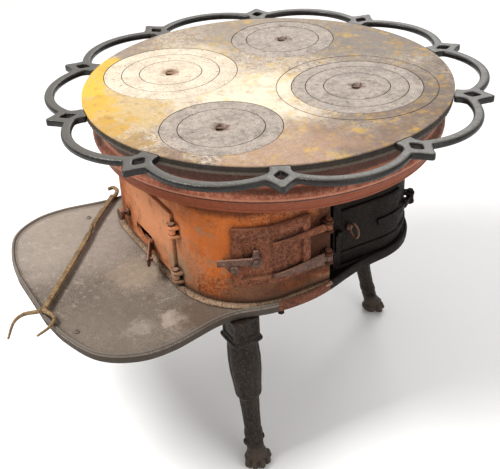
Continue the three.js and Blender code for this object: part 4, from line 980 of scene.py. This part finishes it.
@dataclass
class TurningTop:
    """Round plate with nested rings and lids, and the scalloped rail round it."""

    lobes: int = 10
    rail_start: float = 18.0
    bar_width: float = 20.0
    bar_height: float = 14.0
    sets: tuple[tuple[str, float, float, tuple[float, ...]], ...] = (
        ("large", 206, 0, (139, 102, 65.5)),
        ("rear", -183, 0, (130, 102, 66)),
        ("near", 25, 231, (114, 81)),
        ("far", 25, -231, (114, 81)),
    )

    def centre(self, ahead: float, left: float) -> Spot:
        """Plan place of a pot hole after the top's turn."""
        x, y = left, -ahead
        c, s = math.cos(TOP_TURN), math.sin(TOP_TURN)
        return x * c - y * s, x * s + y * c

    def build(self) -> None:
        """Builds the plate, its sets of rings and lids, and the rail."""
        self.plate()
        for name, ahead, left, radii in self.sets:
            centre = self.centre(ahead, left)
            names = ("outer", "inner")[: len(radii) - 1]
            for i, which in enumerate(names):
                node = f"{which}_ring_{name}"
                finish = self.ring_finish(name, i)
                ring = self.ring(f"{node}_cast", centre, radii[i], radii[i + 1])
                dress(ring, finish, f"{node}_body", (node,))
            node = f"lid_{name}"
            lid = self.lid(f"{node}_cast", centre, radii[-1])
            dress(lid, self.ring_finish(name, 2), f"{node}_body", (node,))
        self.rail()

    def ring_finish(self, name: str, order: int) -> Iron:
        """Rings bleached by heat on the large set, greyer on the others."""
        cream = {("large", 0), ("large", 1), ("large", 2)}
        return Finishes.ring_cream if (name, order) in cream else Finishes.ring_grey

    def plate(self) -> None:
        """Turned plate whose skirt is fluted by a fine cosine, with stepped holes cut for the rings."""
        profile = fillet(
            [
                (0, 691), (364, 691), (364, 680), (370, 680), (370.4, 688), (370.4, 690), (371, 691),
                (371, 700), (0, 700),
            ],
            1.2, 3, closed=False,
        )
        grid = turned_grid(profile, 1080)
        angle = np.linspace(0, 2 * np.pi, 1080, endpoint=False)
        tooth = 0.9 * (1 - np.clip(1.6 * np.cos(180 * angle), -1, 1)) / 2
        on_skirt = ((profile[:, 0] > 366) & (profile[:, 1] < 689.5))[:, None]
        pull = 1 - on_skirt * tooth[None] / TOP_RADIUS
        grid[..., :2] *= pull[..., None]
        plate = surface("plate_casting", grid, wrap_columns=True)
        tools = []
        for name, ahead, left, radii in self.sets:
            hole = radii[0]
            stepped = [(0, 680), (hole - 6, 680), (hole - 6, 696), (hole, 696), (hole, 706), (0, 706)]
            tools.append(turned(f"cut_{name}", stepped, 160, self.centre(ahead, left)))
        groove = fillet([(157.4, 698.8), (159.6, 698.8), (159.6, 702), (157.4, 702)], 0.4, 2)
        tools.append(turned("cut_groove", groove, 160, self.centre(-183, 0)))
        dress(cut(plate, tools), Finishes.top, Body.TOP.value, ("top_plate",), 30)

    def ring(self, name: str, centre: Spot, outer: float, opening: float) -> Piece:
        """A loose ring with a rebate inside and out."""
        edge = outer - 1.3
        profile = [
            (opening, 699.8), (edge, 699.8), (edge, 696.4), (edge - 7, 696.4), (edge - 7, 692),
            (opening - 6, 692), (opening - 6, 696), (opening, 696),
        ]
        return turned(name, fillet(profile, 0.8, 3), 160, centre)

    def lid(self, name: str, centre: Spot, outer: float) -> Piece:
        """A disc with an oval lifter pocket sunk by a smooth step, and a bar across the pocket."""
        edge = outer - 1.3
        step = edge - 7
        section = [(0, 692), (step, 692), (step, 696.4), (edge, 696.4), (edge, 699.8), (edge - 20, 699.8)]
        rim = fillet(section, 0.8, 3, closed=False)
        inner = np.column_stack([np.linspace(24, 0, 34), np.full(34, 699.8)])
        grid = turned_grid(np.vstack([rim, inner]), 120, centre)
        turn = TOP_TURN
        x = (grid[..., 0] - centre[0]) * math.cos(turn) + (grid[..., 1] - centre[1]) * math.sin(turn)
        y = -(grid[..., 0] - centre[0]) * math.sin(turn) + (grid[..., 1] - centre[1]) * math.cos(turn)
        oval = np.hypot(x / 17, y / 9.5)
        sunk = 5.4 * (1 - smoothstep(0.82, 1.06, oval)) * (grid[..., 2] > 699)
        grid[..., 2] -= sunk
        disc = surface(name, grid, wrap_columns=True)
        reach = np.array([-math.sin(turn), math.cos(turn)]) * 10.5
        left, right = ((centre[0] + way * reach[0], centre[1] + way * reach[1], 696.2) for way in (-1, 1))
        ends = [left, (centre[0], centre[1], 697.6), right]
        section = fillet([(-3, -1.6), (3, -1.6), (3, 1.4), (-3, 1.4)], 1.2, 3)
        bar = surface("lifter_bar", along(spline(ends, 14), section), wrap_columns=True)
        return join(name, [disc, bar])

    def rail(self) -> None:
        """Swept arches and eyed joint pieces, run together into one casting."""
        parts = []
        z = TOP_Z - self.bar_height / 2
        lobe = 2 * math.pi / self.lobes
        half_w, half_h = self.bar_width / 2, self.bar_height / 2
        section = fillet([(-half_w, -half_h), (half_w, -half_h), (half_w, half_h), (-half_w, half_h)], 6.5, 7)
        for i in range(self.lobes):
            at = TOP_TURN + math.radians(self.rail_start) + i * lobe
            parts.append(surface(f"arch_{i}", along(self.arch(at + lobe / 2, z), section), wrap_columns=True))
            parts.append(self.eye(f"eye_{i}", at))
        rail = cast_together(join("rail_casting", parts), 1.9, 5)
        dress(rail, Finishes.rail, Body.TOP.value, ("scalloped_rail",), 70)

    def arch(self, middle: float, z: float) -> Points:
        """One scallop: a circular arc from joint piece to joint piece, highest at its crown."""
        lobe = math.pi / self.lobes - math.radians(2.3)
        foot = TOP_RADIUS + 31
        half, chord = foot * math.sin(lobe), foot * math.cos(lobe)
        crown = 447 - self.bar_width / 2
        rise = crown - chord
        sweep = (half**2 + rise**2) / (2 * rise)
        spread = math.asin(half / sweep)
        turn = np.linspace(-spread, spread, 60)
        out, across = crown - sweep + sweep * np.cos(turn), sweep * np.sin(turn)
        x = out * math.cos(middle) - across * math.sin(middle)
        y = out * math.sin(middle) + across * math.cos(middle)
        return np.stack([x, y, np.full_like(x, z)], -1)

    def eye(self, name: str, at: float) -> Piece:
        """Joint piece: flaring flanks round a diamond eye, drawn out to a pointed tip."""
        flank = [
            (371.5, 19), (386, 18.5), (396, 22), (404, 30), (411, 33), (417, 26), (424, 19), (434, 11),
            (446, 3.5),
        ]
        outer = [(r, -t) for r, t in flank] + [(r, t) for r, t in reversed(flank)]
        inner = [(387, 0), (405, -12.5), (422, 0), (405, 12.5)]
        count = 96
        rings = []
        for line in (outer, inner):
            closed = fillet(line, 3.0, 5)
            angle = np.arctan2(closed[:, 1], closed[:, 0] - 405)
            order = np.argsort(angle)
            ask = np.linspace(-np.pi, np.pi, count, endpoint=False)
            known = angle[order]
            plan = [np.interp(ask, known, closed[order, k], period=2 * np.pi) for k in (0, 1)]
            rings.append(np.stack(plan, -1))
        top, bottom = TOP_Z, TOP_Z - self.bar_height
        rows = [(rings[0], bottom), (rings[0], top), (rings[1], top), (rings[1], bottom)]
        flat = np.stack([r for r, _ in rows])
        height = np.array([z for _, z in rows])[:, None] + np.zeros((1, count))
        x = flat[..., 0] * math.cos(at) - flat[..., 1] * math.sin(at)
        y = flat[..., 0] * math.sin(at) + flat[..., 1] * math.cos(at)
        return surface(name, np.stack([x, y, height], -1), wrap_rows=True, wrap_columns=True)


@dataclass
class Leg:
    """Cabriole leg: panelled block, collar, pleated knee, fluted shank and a clawed paw."""

    node: str
    place: Spot
    turn: float
    flare: float
    top: float = 361.7
    block_foot: float = 315.7

    def squared(self, half_x: float, half_y: float, low: float, high: float, edge: float) -> Points:
        """Squared column: a superellipse of power ten at each height, drawn in at both ends."""
        angle = np.linspace(0, 2 * np.pi, 160, endpoint=False)
        power = 10.0
        r = (np.abs(np.cos(angle)) ** power + np.abs(np.sin(angle)) ** power) ** (-1 / power)
        z = np.concatenate([[low, low], np.linspace(low + edge, high - edge, 40), [high, high]])
        shrink = np.concatenate([[0.0, 1 - edge / half_x], np.ones(40), [1 - edge / half_x, 0.0]])
        x = half_x * (r * np.cos(angle))[None] * shrink[:, None]
        y = half_y * (r * np.sin(angle))[None] * shrink[:, None]
        return np.stack([x, y, np.repeat(z[:, None], 160, 1)], -1)

    def panelled(self, grid: Points) -> Points:
        """Sinks a panel in each face of the block and raises a leaf of three lobes in it."""
        x, y, z = grid[..., 0], grid[..., 1], grid[..., 2]
        middle = (self.top + self.block_foot) / 2
        for face, across in ((x, y), (y, x)):
            flat = np.abs(face) > 27
            inside = smoothstep(20.5, 18.5, np.abs(across)) * smoothstep(17.5, 15.5, np.abs(z - middle))
            leaf = np.exp(-((across / 4.5) ** 2 + ((z - middle) / 11) ** 2))
            for side in (-1, 1):
                leaf = leaf + np.exp(-(((across - side * 9) / 4) ** 2 + ((z - middle + 4) / 7) ** 2))
            face -= np.sign(face) * flat * inside * (3.2 - 2.6 * np.clip(leaf, 0, 1))
        return grid

    def limb(self) -> Points:
        """Round limb whose radius follows knee, cuff, shank and ankle, with pleats and flutes."""
        z = np.concatenate([[34.0], np.linspace(34, self.block_foot - 6, 150), [self.block_foot - 6]])
        key = [34, 50, 57, 64, 74, 84, 90, 100, 130, 166, 172, 178, 186, 200, 232, 262, 290, 311]
        size = [17, 17.5, 18.5, 17.5, 19.5, 19, 17.5, 18, 18.8, 21, 22, 26.5, 27.5, 28.5, 32, 33, 31.5, 29]
        radius = np.interp(z, key, size)
        radius[[0, -1]] = 0.0
        angle = np.linspace(0, 2 * np.pi, 144, endpoint=False)
        flutes = 1 - 0.07 * (0.5 + 0.5 * np.cos(12 * angle)) ** 2
        pleats = 1 - 0.075 * (0.5 + 0.5 * np.cos(8 * angle)) ** 3
        on_shank = smoothstep(88, 96, z) * smoothstep(170, 164, z)
        on_knee = smoothstep(184, 194, z) * smoothstep(306, 290, z)
        fluted = 1 + on_shank[:, None] * (flutes[None] - 1)
        pleated = 1 + on_knee[:, None] * (pleats[None] - 1)
        r = radius[:, None] * fluted * pleated
        return np.stack([r * np.cos(angle) * 0.94, r * np.sin(angle), np.repeat(z[:, None], 144, 1)], -1)

    def paw(self) -> list[Points]:
        """Toes fanned round the front of the foot, a heel, an instep and two fetlock lumps."""
        made = []
        for degrees in (-74, -38, 0, 38, 74):
            a = math.radians(degrees)
            made.append(ellipsoid_grid((17 * math.cos(a), 18 * math.sin(a), 11.5), (14.5, 8.2, 11.5), a))
            made.append(ellipsoid_grid((23 * math.cos(a), 23 * math.sin(a), 20), (7.5, 6.6, 7.0), a))
        made.append(ellipsoid_grid((-6, 0, 13), (19, 23, 13)))
        made.append(ellipsoid_grid((4, 0, 27), (21, 22, 20)))
        made.append(ellipsoid_grid((1, 0, 44), (17.5, 18.5, 18)))
        for side in (-1, 1):
            made.append(ellipsoid_grid((-1, side * 18, 60), (7.5, 6, 8)))
        return made

    def build(self) -> None:
        """Leans the limb outwards towards the foot, turns the leg to its place and casts it whole."""
        upper = self.panelled(self.squared(28, 28.5, self.block_foot - 1, self.top, 1.5))
        collar = self.squared(32, 32.5, self.block_foot - 9, self.block_foot, 2.5)
        neck = self.squared(29, 29.5, self.block_foot - 13, self.block_foot - 7, 2.0)
        leaning = [self.limb(), *self.paw()]
        for grid in leaning:
            grid[..., 0] += self.flare * (1 - grid[..., 2] / self.block_foot)
        parts = []
        c, s = math.cos(self.turn), math.sin(self.turn)
        for i, grid in enumerate([upper, collar, neck, *leaning]):
            x = grid[..., 0] * c - grid[..., 1] * s + self.place[0]
            y = grid[..., 0] * s + grid[..., 1] * c + self.place[1]
            above_floor = np.stack([x, y, np.maximum(grid[..., 2], 0.0)], -1)
            parts.append(surface(f"part_{i}", above_floor, wrap_columns=True))
        leg = cast_together(join(f"{self.node}_cast", parts), 1.5, 1)
        dress(leg, Finishes.leg, Body.STOVE.value, (self.node,), 60)


@dataclass
class Doors:
    """Front, loading and oven doors with their latches, straps and pins."""

    def build(self) -> None:
        """Builds the three doors and their fittings."""
        self.front()
        self.side()
        self.oven()
        fittings = {
            "front_latch": (Body.FRONT_LATCH, Finishes.fitting, 0.8),
            "draft_flap": (Body.DRAFT_FLAP, Finishes.fitting, 0.8),
            "draft_flap_pin": (Body.FRONT_DOOR, Finishes.fitting, 0.6),
            "side_latch": (Body.SIDE_LATCH, Finishes.fitting, 0.9),
            "side_latch_screw": (Body.SIDE_DOOR, Finishes.fitting, 0.6),
            "side_strap_upper": (Body.SIDE_DOOR, Finishes.brown_door, 0.9),
            "side_strap_lower": (Body.SIDE_DOOR, Finishes.fitting, 0.9),
            "side_catch": (Body.STOVE, Finishes.fitting, 0.9),
            "oven_strap": (Body.OVEN_DOOR, Finishes.black, 0.9),
            "oven_ring": (Body.OVEN_LATCH, Finishes.fitting, 0.7),
            "oven_keeper": (Body.STOVE, Finishes.black, 0.8),
            "front_hinge_pin_upper": (Body.STOVE, Finishes.fitting, 0.7),
            "front_hinge_pin_lower": (Body.STOVE, Finishes.fitting, 0.7),
            "side_hinge_pin_upper": (Body.STOVE, Finishes.brown, 0.7),
            "side_hinge_pin_lower": (Body.STOVE, Finishes.brown, 0.7),
            "oven_hinge_pin_middle": (Body.STOVE, Finishes.black, 0.7),
            "joint_bolt_right": (Body.STOVE, Finishes.black, 0.7),
            "joint_bolt_left": (Body.STOVE, Finishes.black, 0.7),
            "hearth_rivet_right": (Body.STOVE, Finishes.hearth, 0.6),
            "hearth_rivet_left": (Body.STOVE, Finishes.hearth, 0.6),
            "tie_rod_front_right": (Body.STOVE, Finishes.brown, 1.0),
            "tie_rod_front_left": (Body.STOVE, Finishes.brown, 1.0),
            "tie_rod_rear_right": (Body.STOVE, Finishes.brown, 1.0),
            "tie_rod_rear_left": (Body.STOVE, Finishes.brown, 1.0),
        }
        for node, (body, finish, voxel) in fittings.items():
            dress(softened(node, voxel), finish, body.value, (node,), 50)

    def front(self) -> None:
        """Flat leaf with a low raised edge, its knuckles and the draft opening."""
        x = np.linspace(-112, 116, 90)[:, None]
        z = np.linspace(396, 538, 60)[None]
        inside = np.minimum(np.minimum(x + 112, 116 - x), np.minimum(z - 396, 538 - z))
        raised = 0.9 * smoothstep(11, 9, inside)
        ease = 1.2 * smoothstep(2.5, 0, inside)
        grid_x, grid_z = np.broadcast_arrays(x, z)
        front = np.stack([grid_x, -291.4 - raised + ease, grid_z], -1)
        back = np.stack([grid_x, np.full_like(grid_x, -284.3, dtype=float), grid_z], -1)
        leaf = slab("front_leaf", front, back)
        opening = fillet([(-60, 418), (-46, 407.5), (-20, 403), (16, 403), (16, 435), (-60, 435)], 5, 6)
        hole = prism("cut_draft", opening, -40, 40, 0.5)
        hole.data.transform(Matrix.Translation((-AXIS.x, -AXIS.y, 0)))
        hole.data.transform(Matrix.Rotation(math.pi / 2, 4, "X"))
        hole.data.transform(Matrix.Translation((AXIS.x, AXIS.y - 0.288, 0)))
        cut(leaf, [hole])
        parts = [leaf]
        for i, height in enumerate((508, 404.3)):
            plan = teardrop((128, -294.3), (104, -288.6), 7.6)
            plan[:, 1] = np.minimum(plan[:, 1], -284.6)
            parts.append(prism(f"knuckle_{i}", plan, height - 6, height + 6, 1.2))
        for z0 in (407, 426):
            parts.append(block(f"flap_lug_{z0}", (16.6, -300, z0), (23.4, -291, z0 + 5), 0.8))
        dress(join("front_door_cast", parts), Finishes.rust, Body.FRONT_DOOR.value, ("front_door",))

    def side(self) -> None:
        """Curved leaf that follows the wall, with a raised border round a sunk panel."""
        y = np.linspace(-228, -84, 110)
        z = np.linspace(428, 552, 90)[None]
        corner = FIREBOX_FRONT + FIREBOX_CORNER
        angle = np.arcsin(np.clip((y - corner) / FIREBOX_CORNER, -1, 0))
        base_x = FIREBOX_HALF - FIREBOX_CORNER + FIREBOX_CORNER * np.cos(angle)
        base = np.stack([base_x, y], -1)
        out = np.stack([np.cos(angle), np.sin(angle)], -1)
        step = np.linalg.norm(np.diff(base, axis=0), axis=1)
        s = np.concatenate([[0.0], np.cumsum(step)])[:, None]
        inside = np.minimum(np.minimum(s, s[-1] - s), np.minimum(z - 428, 552 - z))
        swell = smoothstep(20.0, 16.5, inside) * (1 - 0.25 * smoothstep(9, 1, inside))
        lift = 5.3 + 6.2 * swell - 2.0 * smoothstep(2.5, 0, inside)
        flat = base[:, None] + out[:, None] * lift[..., None]
        height = np.broadcast_to(z, lift.shape)
        front = np.concatenate([flat, height[..., None]], -1)
        inner = np.broadcast_to(base[:, None] + out[:, None] * 0.3, flat.shape)
        back = np.concatenate([inner, height[..., None]], -1)
        dress(slab("side_door_cast", front, back), Finishes.brown_door, Body.SIDE_DOOR.value, ("side_door",))

    def oven(self) -> None:
        """Plain leaf bent round the oven's corner, with eased edges."""
        plan, normal = oven_path(0.0, 60)
        y = np.linspace(7, 158, 80)
        half = plan[: len(plan) // 2]
        rising = np.argsort(half[:, 1])
        base = np.stack([np.interp(y, half[rising, 1], half[rising, 0]), y], -1)
        out = np.stack([np.interp(y, half[rising, 1], normal[: len(half)][rising, k]) for k in (0, 1)], -1)
        z = np.linspace(418, 510, 50)[None]
        inside = np.minimum(np.minimum(y - 7, 158 - y)[:, None], np.minimum(z - 418, 510 - z))
        lift = 5.8 - 1.8 * smoothstep(3, 0, inside)
        flat = base[:, None] + out[:, None] * lift[..., None]
        height = np.broadcast_to(z, lift.shape)
        front = np.concatenate([flat, height[..., None]], -1)
        inner = np.broadcast_to(base[:, None] + out[:, None] * 0.3, flat.shape)
        back = np.concatenate([inner, height[..., None]], -1)
        dress(slab("oven_door_cast", front, back), Finishes.black, Body.OVEN_DOOR.value, ("oven_door",))


@dataclass
class Poker:
    """Wrought poker that lies over the hearth: curled hook, twisted shaft and two tines."""

    height: float = 389.5

    def build(self) -> None:
        """Carries a square bar along the shaft, twisted near its middle, and round bars along the ends."""
        z = self.height
        t = np.linspace(0, 1, 90)
        shaft = spline([(-263, -264, z), (-180, -340, z), (-98, -405, z), (69, -547, z)], 90)
        square = fillet([(-5.6, -3.6), (5.6, -3.6), (5.6, 3.6), (-5.6, 3.6)], 1.6, 4)
        twist = np.pi * smoothstep(0.36, 0.56, t)
        parts = [surface("shaft", along(shaft, square, 1.0, twist), wrap_columns=True)]
        angle = np.linspace(0, 2 * np.pi, 16, endpoint=False)
        disc = np.stack([np.cos(angle), np.sin(angle)], -1)
        ends = {
            "hook": [
                (-256, -270, z), (-264, -257, z), (-278, -247.5, z + 2), (-293, -250, z + 3),
                (-293, -263, z + 3),
            ],
            "left_tine": [
                (62, -541, z), (67, -557, z), (58, -583, z - 2), (70, -606, z - 3), (112, -630, z - 3),
            ],
            "right_tine": [(62, -549, z), (84, -541, z), (103, -538, z), (124, -554, z), (134, -583, z - 3)],
        }
        for name, points in ends.items():
            thin = np.linspace(5.2, 4.2 if name == "hook" else 2.3, 50)
            parts.append(surface(name, along(spline(points, 50), disc, thin), wrap_columns=True))
        poker = cast_together(join("poker_forged", parts), 0.9, 1)
        dress(poker, Finishes.poker, Body.POKER.value, ("poker",), 60)


# ---------------------------------------------------------------- studio


@dataclass
class Studio:
    """Pale floor, soft lights and the camera."""

    eye: Place = (1454.6, -861.5, 1400.0)
    ahead: Spot = (-0.875, 0.485)
    pitch: float = 32.30
    roll: float = 2.64
    lens: float = 64.44

    def build(self) -> None:
        """Sets up the floor, the lights and the camera."""
        self.floor()
        self.lights()
        self.camera()

    def floor(self) -> None:
        """Large flat square just under the feet."""
        mesh = bpy.data.meshes.new("floor")
        side = 30.0
        corners = [(-side, -side, 0), (side, -side, 0), (side, side, 0), (-side, side, 0)]
        mesh.from_pydata(corners, [], [(0, 1, 2, 3)])
        floor = bpy.data.objects.new("floor", mesh)
        bpy.context.scene.collection.objects.link(floor)
        made = bpy.data.materials.new("pale_floor")
        made.use_nodes = True
        shader = made.node_tree.nodes["Principled BSDF"]
        shader.inputs["Base Color"].default_value = linear("FBFAF8")
        shader.inputs["Roughness"].default_value = 0.9
        mesh.materials.append(made)

    def area(self, name: str, place: Place, size: float, power: float) -> None:
        """A square soft light aimed at the stove's middle."""
        data = bpy.data.lights.new(name, "AREA")
        data.size = size
        data.energy = power
        lamp = bpy.data.objects.new(name, data)
        lamp.location = place
        aim = Vector((AXIS.x, AXIS.y, 0.5)) - Vector(place)
        lamp.rotation_euler = aim.to_track_quat("-Z", "Y").to_euler()
        bpy.context.scene.collection.objects.link(lamp)

    def lights(self) -> None:
        """White room light, a large key over the hearth and a weaker one on the side."""
        world = bpy.data.worlds.new("room")
        world.use_nodes = True
        world.node_tree.nodes["Background"].inputs["Color"].default_value = (1, 1, 1, 1)
        world.node_tree.nodes["Background"].inputs["Strength"].default_value = 0.62
        bpy.context.scene.world = world
        self.area("key", (-0.3, -2.0, 3.2), 1.1, 115)
        self.area("side", (2.6, 0.4, 1.3), 1.4, 16)
        self.area("back", (-2.0, 2.0, 2.6), 2.0, 40)

    def camera(self) -> None:
        """Looks down at the stove from beyond its loading door."""
        forward = Vector((*self.ahead, 0)).normalized()
        right = Vector((-forward.y, forward.x, 0)) * -1
        tilt, lean = math.radians(self.pitch), math.radians(self.roll)
        down = -math.sin(tilt) * forward - math.cos(tilt) * Vector((0, 0, 1))
        look = math.cos(tilt) * forward - math.sin(tilt) * Vector((0, 0, 1))
        x_axis = math.cos(lean) * right + math.sin(lean) * down
        y_axis = math.sin(lean) * right - math.cos(lean) * down
        data = bpy.data.cameras.new("camera")
        data.sensor_width = 36.0
        data.lens = self.lens
        data.clip_start, data.clip_end = 0.05, 100.0
        camera = bpy.data.objects.new("camera", data)
        turn = Matrix((x_axis, y_axis, -look)).transposed().to_4x4()
        place = Vector(self.eye) * MM + Vector((AXIS.x, AXIS.y, 0))
        camera.matrix_world = Matrix.Translation(place) @ turn
        bpy.context.scene.collection.objects.link(camera)
        bpy.context.scene.camera = camera


def main() -> None:
    """Builds the sub-assemblies in order."""
    logging.basicConfig(level=logging.INFO, format="%(message)s")
    Studio().build()
    BaseCastings().build()
    Casing().build()
    TurningTop().build()
    Leg("leg_right", (252, -224), 0.0, 38).build()
    Leg("leg_left", (-252, -224), math.pi, 38).build()
    Leg("leg_rear", (0, 214), math.pi / 2, 80).build()
    Doors().build()
    Poker().build()
    bpy.context.scene.view_settings.view_transform = "Standard"


if __name__ == "__main__":
    main()
